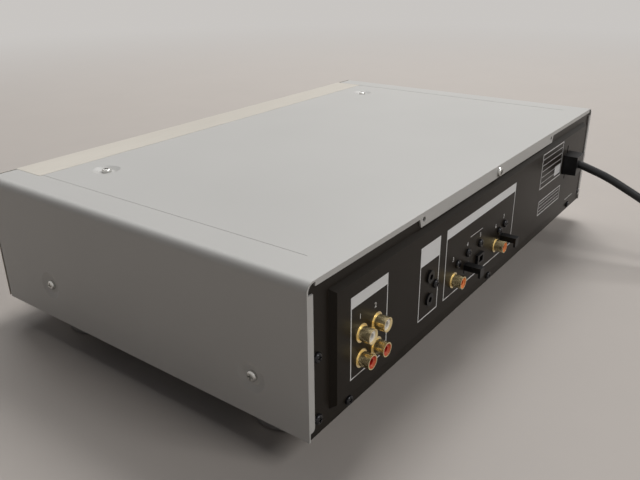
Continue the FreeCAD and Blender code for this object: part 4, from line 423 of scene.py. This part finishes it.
def ring_group():
    """Fine turned rings about an axis along y, for knobs; the centre is given as x and z."""
    group, inward, outward = node_group("Turned rings", (("Roughness", 0.3), ("Spread", 0.08),
                                                         ("Scale", 9000), ("Relief", 0.2),
                                                         ("Centre x", 0), ("Centre z", 0)))
    if inward is None:
        return group
    link = group.links.new
    place = group.nodes.new("ShaderNodeTexCoord")
    parts = group.nodes.new("ShaderNodeSeparateXYZ")
    link(place.outputs["Object"], parts.inputs[0])
    shifted = group.nodes.new("ShaderNodeCombineXYZ")
    for axis, label in (("X", "Centre x"), ("Z", "Centre z")):
        move = group.nodes.new("ShaderNodeMath")
        move.operation = "SUBTRACT"
        link(parts.outputs[axis], move.inputs[0])
        link(inward.outputs[label], move.inputs[1])
        link(move.outputs[0], shifted.inputs[axis])
    reach = group.nodes.new("ShaderNodeVectorMath")
    reach.operation = "LENGTH"
    link(shifted.outputs[0], reach.inputs[0])
    wave = group.nodes.new("ShaderNodeTexNoise")
    wave.noise_dimensions = "1D"
    link(reach.outputs["Value"], wave.inputs["W"])
    link(inward.outputs["Scale"], wave.inputs["Scale"])
    vary(group, wave.outputs["Fac"], inward, outward, wave.outputs["Fac"])
    return group


def finish(name, group, base, roughness, metallic=0.0, spread=0.05, scale=2000, relief=0.15,
           **sockets):
    """A material whose colour, roughness and relief come from a shared pattern group."""
    material = bpy.data.materials.get(name)
    if material:
        return material
    material = bpy.data.materials.new(name)
    material.use_nodes = True
    material.diffuse_color = (*base, 1)
    shader = material.node_tree.nodes["Principled BSDF"]
    pattern = material.node_tree.nodes.new("ShaderNodeGroup")
    pattern.node_tree = group
    pattern.inputs["Colour"].default_value = (*base, 1)
    pattern.inputs["Roughness"].default_value = roughness
    pattern.inputs["Spread"].default_value = spread
    pattern.inputs["Scale"].default_value = scale
    pattern.inputs["Relief"].default_value = relief
    link = material.node_tree.links.new
    link(pattern.outputs["Colour"], shader.inputs["Base Color"])
    link(pattern.outputs["Roughness"], shader.inputs["Roughness"])
    link(pattern.outputs["Normal"], shader.inputs["Normal"])
    shader.inputs["Metallic"].default_value = metallic
    for label, value in sockets.items():
        shader.inputs[label.replace("_", " ")].default_value = value
    return material


def cover_paint():
    """Metallic paint of the cover."""
    return finish("Cover paint", grain_group(), colours().cover, roughness=0.46, metallic=0.05,
                  spread=0.03, scale=2600, relief=0.1, Specular_IOR_Level=0.25)


def face_metal():
    """Satin metal of the front panel."""
    return finish("Face metal", streak_group(), colours().face, roughness=0.36, metallic=0.65,
                  spread=0.04, scale=1500, relief=0.1)


def button_metal():
    """Metal-look coating of the buttons."""
    return finish("Button coating", grain_group(), colours().face, roughness=0.34, metallic=0.6,
                  spread=0.03, scale=3000, relief=0.08)


def knob_metal(name, node):
    """Turned metal of a knob, with rings about its own axis."""
    low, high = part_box(node)
    material = finish(name, ring_group(), colours().face, roughness=0.3, metallic=0.85,
                      spread=0.07, scale=9000, relief=0.2)
    pattern = next(part for part in material.node_tree.nodes if part.type == "GROUP")
    pattern.inputs["Centre x"].default_value = (low.x + high.x) / 2
    pattern.inputs["Centre z"].default_value = (low.z + high.z) / 2
    return material


def panel_paint():
    """Black paint of the rear panel, with a fine texture."""
    return finish("Panel paint", grain_group(), colours().panel, roughness=0.34, spread=0.1,
                  scale=3200, relief=0.15, Specular_IOR_Level=0.14)


def black_moulding():
    """Black moulded plastic."""
    return finish("Black moulding", grain_group(), colours().plastic, roughness=0.34, spread=0.1,
                  scale=2400, relief=0.2, Specular_IOR_Level=0.3)


def lead_rubber():
    """Black sleeve of the mains lead and the foot pads."""
    return finish("Lead sleeve", grain_group(), colours().rubber, roughness=0.36, spread=0.1,
                  scale=1500, relief=0.15)


def foot_coating():
    """Silver coating of the feet."""
    return finish("Foot coating", grain_group(), colours().foot, roughness=0.36, metallic=0.5,
                  spread=0.04, scale=1800, relief=0.1)


def gold_plating():
    """Gold plating of the socket shells."""
    return finish("Gold plating", streak_group(), colours().gold, roughness=0.26, metallic=1.0,
                  spread=0.04, scale=2500, relief=0.05)


def insert_plastic(name, base):
    """Glossy plastic of a socket's insert."""
    return finish(name, grain_group(), base, roughness=0.28, spread=0.04, scale=2500, relief=0.06)


def zinc_sheet():
    """Zinc-plated sheet of the chassis and brackets."""
    return finish("Zinc sheet", streak_group(), colours().zinc, roughness=0.38, metallic=0.9,
                  spread=0.1, scale=500, relief=0.15)


def bright_steel():
    """Bright steel of the rods, motors and mechanism."""
    return finish("Bright steel", streak_group(), colours().steel, roughness=0.28, metallic=1.0,
                  spread=0.06, scale=1200, relief=0.1)


def screw_steel():
    """Bright plated screws."""
    return finish("Screw plating", grain_group(), colours().screw, roughness=0.25, metallic=1.0,
                  spread=0.05, scale=3000, relief=0.06)


def black_screw():
    """Black oxide of the rear screws."""
    return finish("Screw oxide", grain_group(), colours().oxide, roughness=0.12, metallic=0.6,
                  spread=0.05, scale=3000, relief=0.04)


def smoked_window():
    """Dark clear window of the display."""
    return finish("Smoked window", grain_group(), colours().window, roughness=0.04, spread=0.02,
                  scale=800, relief=0.0, Transmission_Weight=0.92, IOR=1.3)


def display_glass():
    """Display tube behind the window."""
    return finish("Display glass", grain_group(), colours().tube, roughness=0.12, spread=0.04,
                  scale=900, relief=0.02)


def board_resist():
    """Green solder resist of the boards."""
    return finish("Solder resist", grain_group(), colours().board, roughness=0.35, spread=0.15,
                  scale=350, relief=0.1)


def iron_core():
    """Laminated iron of the transformer."""
    return finish("Iron core", streak_group(), colours().core, roughness=0.45, metallic=0.7,
                  spread=0.2, scale=900, relief=0.3)


def winding_tape():
    """Yellow tape round the winding."""
    return finish("Winding tape", streak_group(), colours().tape, roughness=0.4, spread=0.06,
                  scale=400, relief=0.1)


def capacitor_sleeve():
    """Dark sleeve of the capacitors."""
    return finish("Capacitor sleeve", grain_group(), colours().sleeve, roughness=0.25,
                  spread=0.05, scale=900, relief=0.05)


def natural_nylon():
    """Pale nylon of the gear, turntable and posts."""
    return finish("Natural nylon", grain_group(), colours().nylon, roughness=0.42, spread=0.04,
                  scale=1500, relief=0.08)


def pin_nickel():
    """Nickel plating of the plug's pins."""
    return finish("Pin nickel", streak_group(), colours().nickel, roughness=0.25, metallic=1.0,
                  spread=0.05, scale=1500, relief=0.06)


def mark_ink():
    """Pale ink of the printed marks."""
    return finish("Mark ink", grain_group(), colours().marks, roughness=0.6, spread=0.05,
                  scale=4000, relief=0.05)


def symbol_ink():
    """Dark ink of the symbols on the front."""
    return finish("Symbol ink", grain_group(), colours().ink, roughness=0.5, spread=0.05,
                  scale=4000, relief=0.05)


def lit_segment():
    """Lit figures of the display."""
    return finish("Lit figures", grain_group(), colours().figures, roughness=0.4, spread=0.02,
                  scale=2000, relief=0.0, Emission_Color=(*colours().glow, 1),
                  Emission_Strength=3.0)


def slot_finishes():
    """The finish of each material slot in the record."""
    return {
        "cover": cover_paint(),
        "face": face_metal(),
        "black_metal": panel_paint(),
        "sheet_steel": zinc_sheet(),
        "bright_screw": screw_steel(),
        "black_screw": black_screw(),
        "black_plastic": black_moulding(),
        "gold_shell": gold_plating(),
        "white_plastic": insert_plastic("White insert", colours().white),
        "red_plastic": insert_plastic("Red insert", colours().red),
        "orange_plastic": insert_plastic("Orange insert", colours().orange),
        "foot": foot_coating(),
        "foot_pad": lead_rubber(),
        "button": button_metal(),
        "knob": knob_metal("Jog knob metal", "jog_knob"),
        "window": smoked_window(),
        "tube": display_glass(),
        "board": board_resist(),
        "core": iron_core(),
        "winding": winding_tape(),
        "capacitor": capacitor_sleeve(),
        "steel": bright_steel(),
        "nylon": natural_nylon(),
        "cord": lead_rubber(),
        "plug_pin": pin_nickel(),
    }


# Operators

class DECK_OT_camera(bpy.types.Operator):
    """Place the camera"""

    bl_idname = "deck.camera"
    bl_label = "Camera"

    def execute(self, context):
        view = context.scene.deck_camera
        data = bpy.data.cameras.new("Camera")
        camera = bpy.data.objects.new("Camera", data)
        context.scene.collection.objects.link(camera)
        data.lens = view.lens
        data.sensor_width = FILM_WIDTH
        data.clip_start = CLIP_START
        data.clip_end = CLIP_END
        camera.location = view.place
        sight = Vector(view.aim) - Vector(view.place)
        level = sight.to_track_quat("-Z", "Y")
        camera.rotation_mode = "QUATERNION"
        camera.rotation_quaternion = level @ Euler((0, 0, view.roll)).to_quaternion()
        context.scene.camera = camera
        return {"FINISHED"}


def coil_spot(lead, turns):
    """The coil's line about its own middle, as in the part's source."""
    radius = lead.inner + lead.pitch * abs(turns - lead.inward)
    share = min(max((turns - lead.inward) / lead.climb + 0.5, 0), 1)
    fall = lead.layer * (1 - math.cos(math.pi * share)) / 2
    angle = 2 * math.pi * turns
    height = lead.width / 2 + lead.layer - fall
    return Vector((radius * math.cos(angle), radius * math.sin(angle), height))


def coil_heading(lead, turns):
    """The direction of the coil's line."""
    step = 0.01
    return (coil_spot(lead, turns + step) - coil_spot(lead, turns - step)).normalized()


def spread_route(route, start, end_height):
    """Route points from a start and a last height."""
    rise = end_height - start.z
    return [Vector((start.x + side, start.y + back, start.z + rise * share))
            for side, back, share in route]


def lead_points(lead):
    """All the points of the lead: its fall, its coil and its tail to the plug."""
    points = spread_route(LEAD_ROUTE, Vector(LEAD_START), lead.width / 2 + lead.layer)
    middle = points[-1] + coil_heading(lead, 0) * lead.width - coil_spot(lead, 0)
    outside = 1 / math.cos(math.pi / POINTS_PER_TURN)
    for step in range(1, int(lead.turns * POINTS_PER_TURN) + 1):
        spot = coil_spot(lead, step / POINTS_PER_TURN)
        points.append(middle + Vector((spot.x * outside, spot.y * outside, spot.z)))
    end = middle + coil_spot(lead, lead.turns) + coil_heading(lead, lead.turns) * lead.width
    low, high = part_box("mains_plug")
    points += spread_route(TAIL_ROUTE, end, (low.z + high.z) / 2)
    return points


class DECK_OT_lead(bpy.types.Operator):
    """Lay the mains lead from the strain relief through its coil to the plug"""

    bl_idname = "deck.lead"
    bl_label = "Mains lead"

    def execute(self, context):
        lead = context.scene.deck_lead
        points = lead_points(lead)
        data = bpy.data.curves.new("mains_lead", "CURVE")
        data.dimensions = "3D"
        data.bevel_depth = lead.width / 2
        data.bevel_resolution = TUBE_STEPS
        data.resolution_u = LINE_STEPS
        data.use_fill_caps = True
        spline = data.splines.new("NURBS")
        spline.points.add(len(points) - 1)
        for point, spot in zip(spline.points, points):
            point.co = (*spot, 1)
        spline.order_u = 3
        spline.use_endpoint_u = True
        piece = bpy.data.objects.new("mains_lead", data)
        context.scene.collection.objects.link(piece)
        data.materials.append(lead_rubber())
        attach(piece, "case")
        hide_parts("power_cord", "cord_coil", "cord_tail")
        return {"FINISHED"}


class DECK_OT_plug(bpy.types.Operator):
    """Model the moulded plug, narrow at the lead and wide at the pins"""

    bl_idname = "deck.plug"
    bl_label = "Plug"

    def execute(self, context):
        low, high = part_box("mains_plug")
        size = high - low
        body = size.x * PLUG_BODY
        clear_selection()
        middle = (low + high) / 2
        bpy.ops.mesh.primitive_cube_add(size=1, location=(low.x + body / 2, middle.y, middle.z))
        plug = bpy.context.object
        plug.scale = (body, size.y, size.z)
        bpy.ops.object.transform_apply(location=True, rotation=False, scale=True)
        bpy.ops.object.mode_set(mode="EDIT")
        for reach, across, upright in PLUG_STEPS:
            bpy.ops.mesh.select_all(action="DESELECT")
            select_end_face(plug)
            step = (size.x * reach, 0, 0)
            bpy.ops.mesh.extrude_region_move(TRANSFORM_OT_translate={"value": step})
            bpy.ops.transform.resize(value=(1, across, upright),
                                     center_override=(0, middle.y, middle.z))
        bpy.ops.object.mode_set(mode="OBJECT")
        rounding = plug.modifiers.new("Rounding", "BEVEL")
        rounding.width = PLUG_ROUNDING
        rounding.segments = ROUNDING_STEPS
        bpy.ops.object.modifier_apply(modifier="Rounding")
        bpy.ops.object.shade_smooth_by_angle(angle=SMOOTH_BELOW)
        settle(plug, "moulded_plug", "case", black_moulding())
        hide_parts("mains_plug")
        return {"FINISHED"}


def select_end_face(piece):
    """Select the face at a piece's end in x."""
    bpy.ops.object.mode_set(mode="OBJECT")
    furthest = max(piece.data.polygons, key=lambda face: face.center.x)
    for face in piece.data.polygons:
        face.select = face == furthest
    bpy.ops.object.mode_set(mode="EDIT")


class DECK_OT_finishes(bpy.types.Operator):
    """Give every part of the deck its finish"""

    bl_idname = "deck.finishes"
    bl_label = "Finishes"

    def execute(self, context):
        finishes = slot_finishes()
        slots = {row["node"]: row["material_slot"] for row in frame["record"]["subparts"]}
        for node, piece in frame["nodes"].items():
            material = finishes[slots[node]]
            if node == "level_knob":
                material = knob_metal("Level knob metal", node)
            if not piece.data.materials:
                piece.data.materials.append(material)
            for place in piece.material_slots:
                place.material = material
        return {"FINISHED"}


def rear_mark(x, z, line=0):
    """A printed rectangle on the raised field of the rear panel, between two ends in x and in z."""
    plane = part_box("rear_panel")[1].y
    place = ((x[0] + x[1]) / 2, plane, (z[0] + z[1]) / 2)
    return flat_print("rectangle", place, REAR_TURN, x[1] - x[0], z[1] - z[0], line)


def rear_number(count, x, z):
    """A printed plain number on the raised field, centred on a place."""
    clear_selection()
    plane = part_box("rear_panel")[1].y
    bpy.ops.object.text_add(location=(x, plane, z), rotation=REAR_TEXT_TURN)
    figure = bpy.context.object
    figure.data.body = str(count)
    figure.data.size = bpy.context.scene.deck_marks.number_size
    figure.data.align_x = "CENTER"
    figure.data.align_y = "CENTER"
    bpy.ops.object.convert(target="MESH")
    return bpy.context.object


class DECK_OT_rear_marks(bpy.types.Operator):
    """Print the socket fields and the plates on the rear panel"""

    bl_idname = "deck.rear_marks"
    bl_label = "Rear marks"

    def execute(self, context):
        sizes = context.scene.deck_marks
        marks = []
        for ends, bands in SOCKET_FIELDS:
            head = FIELD_TOP - sizes.header * bands
            marks.append(rear_mark(ends, (FIELD_LOW, head), sizes.line))
            marks.append(rear_mark(ends, (head, FIELD_TOP)))
        for ends, heights, rules in PLATES:
            marks.append(rear_mark(ends, heights, sizes.line))
            inside = (ends[0] + PLATE_MARGIN, ends[1] - PLATE_MARGIN)
            gap = (heights[1] - heights[0]) / (rules + 1)
            for step in range(1, rules + 1):
                height = heights[0] + gap * step
                marks.append(rear_mark(inside, (height, height + sizes.rule)))
        marks.append(rear_mark(*PLATE_LABEL))
        marks.append(rear_mark(PORTS_RULE, (PORTS_RULE_HEIGHT, PORTS_RULE_HEIGHT + sizes.rule)))
        marks.append(rear_mark(*CORNER_STRIP))
        marks += [rear_number(count, x, z) for count, (x, z) in enumerate(NUMBER_PLACES, start=1)]
        marks = join_pieces(marks)
        thicken(marks, PRINT_THICK)
        settle(marks, "rear_marks", "case", mark_ink())
        return {"FINISHED"}


def front_turn(degrees):
    """Rotation of a print that lies on the front, turned about its middle."""
    return (FRONT_TURN[0], math.radians(degrees), 0)


class DECK_OT_front_symbols(bpy.types.Operator):
    """Print the plain symbols on the buttons and the marks round the level knob"""

    bl_idname = "deck.front_symbols"
    bl_label = "Front symbols"

    def execute(self, context):
        for name, marks in SYMBOLS.items():
            low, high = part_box(name + "_button")
            middle = Vector(((low.x + high.x) / 2, low.y, (low.z + high.z) / 2))
            prints = [flat_print(kind, middle + Vector((aside, 0, 0)), front_turn(turn),
                                 width, height, 0, corners)
                      for kind, aside, width, height, corners, turn in marks]
            mark = join_pieces(prints) if len(prints) > 1 else prints[0]
            thicken(mark, PRINT_THICK)
            settle(mark, name + "_symbol", name, symbol_ink())
        self.level_marks()
        return {"FINISHED"}

    def level_marks(self):
        """Short marks round the level knob, from its lowest to its highest place."""
        sizes = bpy.context.scene.deck_marks
        low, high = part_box("level_knob")
        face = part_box("front_panel")[0].y
        middle = Vector(((low.x + high.x) / 2, face, (low.z + high.z) / 2))
        reach = (high.x - low.x) / 2 + sizes.tick_gap
        ticks = []
        for step in range(LEVEL_MARKS):
            turn = LEVEL_TURN * (step / (LEVEL_MARKS - 1) - 0.5)
            angle = math.radians(turn)
            place = middle + Vector((math.sin(angle) * reach, 0, math.cos(angle) * reach))
            ticks.append(flat_print("rectangle", place, front_turn(turn), sizes.tick_width,
                                    sizes.tick_height))
        ticks = join_pieces(ticks)
        thicken(ticks, PRINT_THICK)
        settle(ticks, "level_marks", "case", symbol_ink())


class DECK_OT_display(bpy.types.Operator):
    """Set plain figures in the display"""

    bl_idname = "deck.display"
    bl_label = "Display figures"

    def execute(self, context):
        low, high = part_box("display_tube")
        clear_selection()
        place = ((low.x + high.x) / 2, low.y - FIGURE_GAP, (low.z + high.z) / 2)
        bpy.ops.object.text_add(location=place, rotation=FRONT_TURN)
        figures = bpy.context.object
        figures.data.body = DISPLAY_FIGURES
        figures.data.size = context.scene.deck_marks.figure_size
        figures.data.align_x = "CENTER"
        figures.data.align_y = "CENTER"
        figures.data.extrude = PRINT_THICK
        bpy.ops.object.convert(target="MESH")
        settle(bpy.context.object, "display_figures", "case", lit_segment())
        return {"FINISHED"}


def seen_directly(tree):
    """A socket that is 1 where the camera, a reflection or a clear piece shows the backdrop."""
    path = tree.nodes.new("ShaderNodeLightPath")
    share = path.outputs["Is Camera Ray"]
    for label in ("Is Glossy Ray", "Is Transmission Ray"):
        add = tree.nodes.new("ShaderNodeMath")
        add.operation = "MAXIMUM"
        tree.links.new(share, add.inputs[0])
        tree.links.new(path.outputs[label], add.inputs[1])
        share = add.outputs[0]
    return share


class DECK_OT_stage(bpy.types.Operator):
    """Make the floor, the backdrop and the lights"""

    bl_idname = "deck.stage"
    bl_label = "Stage"

    def execute(self, context):
        stage = context.scene.deck_stage
        clear_selection()
        bpy.ops.mesh.primitive_plane_add(size=stage.floor_size, location=(0, 0, 0))
        floor = bpy.context.object
        floor.name = "floor"
        floor.data.materials.append(self.floor_material(stage))
        for (name, place, width), power in zip(LAMPS, (stage.key, stage.rear, stage.front)):
            self.lamp(name, place, width, power)
        world = bpy.data.worlds.new("Studio")
        context.scene.world = world
        world.use_nodes = True
        back = world.node_tree.nodes["Background"]
        back.inputs["Color"].default_value = (*colours().sky, 1)
        back.inputs["Strength"].default_value = stage.fill
        bright = world.node_tree.nodes.new("ShaderNodeBackground")
        bright.inputs["Color"].default_value = (*colours().backdrop, 1)
        bright.inputs["Strength"].default_value = 1
        seen = world.node_tree.nodes.new("ShaderNodeMixShader")
        link = world.node_tree.links.new
        link(seen_directly(world.node_tree), seen.inputs["Fac"])
        link(back.outputs[0], seen.inputs[1])
        link(bright.outputs[0], seen.inputs[2])
        link(seen.outputs[0], world.node_tree.nodes["World Output"].inputs["Surface"])
        context.scene.view_settings.view_transform = "Standard"
        return {"FINISHED"}

    def lamp(self, name, place, width, power):
        """A square soft light that looks at the deck."""
        data = bpy.data.lights.new(name, "AREA")
        data.size = width
        data.energy = power
        lamp = bpy.data.objects.new(name, data)
        lamp.location = place
        lamp.rotation_mode = "QUATERNION"
        lamp.rotation_quaternion = (-Vector(place)).to_track_quat("-Z", "Y")
        bpy.context.scene.collection.objects.link(lamp)

    def floor_material(self, stage):
        """Plain pale floor that turns into the backdrop's colour far from the deck."""
        material = finish("Floor", grain_group(), colours().floor, roughness=0.6, spread=0.02,
                          scale=30, relief=0.0)
        tree = material.node_tree
        link = tree.links.new
        place = tree.nodes.new("ShaderNodeTexCoord")
        reach = tree.nodes.new("ShaderNodeVectorMath")
        reach.operation = "LENGTH"
        link(place.outputs["Object"], reach.inputs[0])
        far = tree.nodes.new("ShaderNodeMapRange")
        far.interpolation_type = "SMOOTHSTEP"
        far.inputs["From Min"].default_value = stage.fade_start
        far.inputs["From Max"].default_value = stage.fade_end
        link(reach.outputs["Value"], far.inputs["Value"])
        share = tree.nodes.new("ShaderNodeMath")
        share.operation = "MULTIPLY"
        link(far.outputs["Result"], share.inputs[0])
        link(seen_directly(tree), share.inputs[1])
        glow = tree.nodes.new("ShaderNodeEmission")
        glow.inputs["Color"].default_value = (*colours().backdrop, 1)
        both = tree.nodes.new("ShaderNodeMixShader")
        link(share.outputs[0], both.inputs["Fac"])
        link(tree.nodes["Principled BSDF"].outputs["BSDF"], both.inputs[1])
        link(glow.outputs["Emission"], both.inputs[2])
        link(both.outputs["Shader"], tree.nodes["Material Output"].inputs["Surface"])
        return material


class DECK_PT_sidebar(bpy.types.Panel):
    """The deck's colours, sizes and steps"""

    bl_label = "Minidisc deck"
    bl_idname = "DECK_PT_sidebar"
    bl_space_type = "VIEW_3D"
    bl_region_type = "UI"
    bl_category = "Deck"

    def draw(self, context):
        layout = self.layout
        for group in settings().values():
            box = layout.box()
            for name in group.__annotations__:
                box.prop(group, name)
        for step in STEPS:
            layout.operator(step.bl_idname)


SETTINGS = {
    "deck_colours": DeckColours,
    "deck_lead": DeckLead,
    "deck_marks": DeckMarks,
    "deck_camera": DeckCamera,
    "deck_stage": DeckStage,
}
STEPS = (
    DECK_OT_camera,
    DECK_OT_lead,
    DECK_OT_plug,
    DECK_OT_finishes,
    DECK_OT_rear_marks,
    DECK_OT_front_symbols,
    DECK_OT_display,
    DECK_OT_stage,
)


def classes():
    """All the classes that are registered."""
    return (*SETTINGS.values(), *STEPS, DECK_PT_sidebar)


def register():
    """Register the deck's settings, operators and panel."""
    for item in classes():
        bpy.utils.register_class(item)
    for label, group in SETTINGS.items():
        setattr(bpy.types.Scene, label, PointerProperty(type=group))


def unregister():
    """Take the deck's classes and settings away."""
    for label in SETTINGS:
        delattr(bpy.types.Scene, label)
    for item in reversed(classes()):
        bpy.utils.unregister_class(item)


def corners(bounds):
    """Two corners as plain lists."""
    return [list(corner) for corner in bounds]


def main():
    """Make the whole deck."""
    register()
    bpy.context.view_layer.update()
    bpy.ops.deck.camera()
    bpy.ops.deck.lead()
    bpy.ops.deck.plug()
    bpy.ops.deck.finishes()
    bpy.ops.deck.rear_marks()
    bpy.ops.deck.front_symbols()
    bpy.ops.deck.display()
    bpy.ops.deck.stage()


if __name__ == "__main__":
    main()
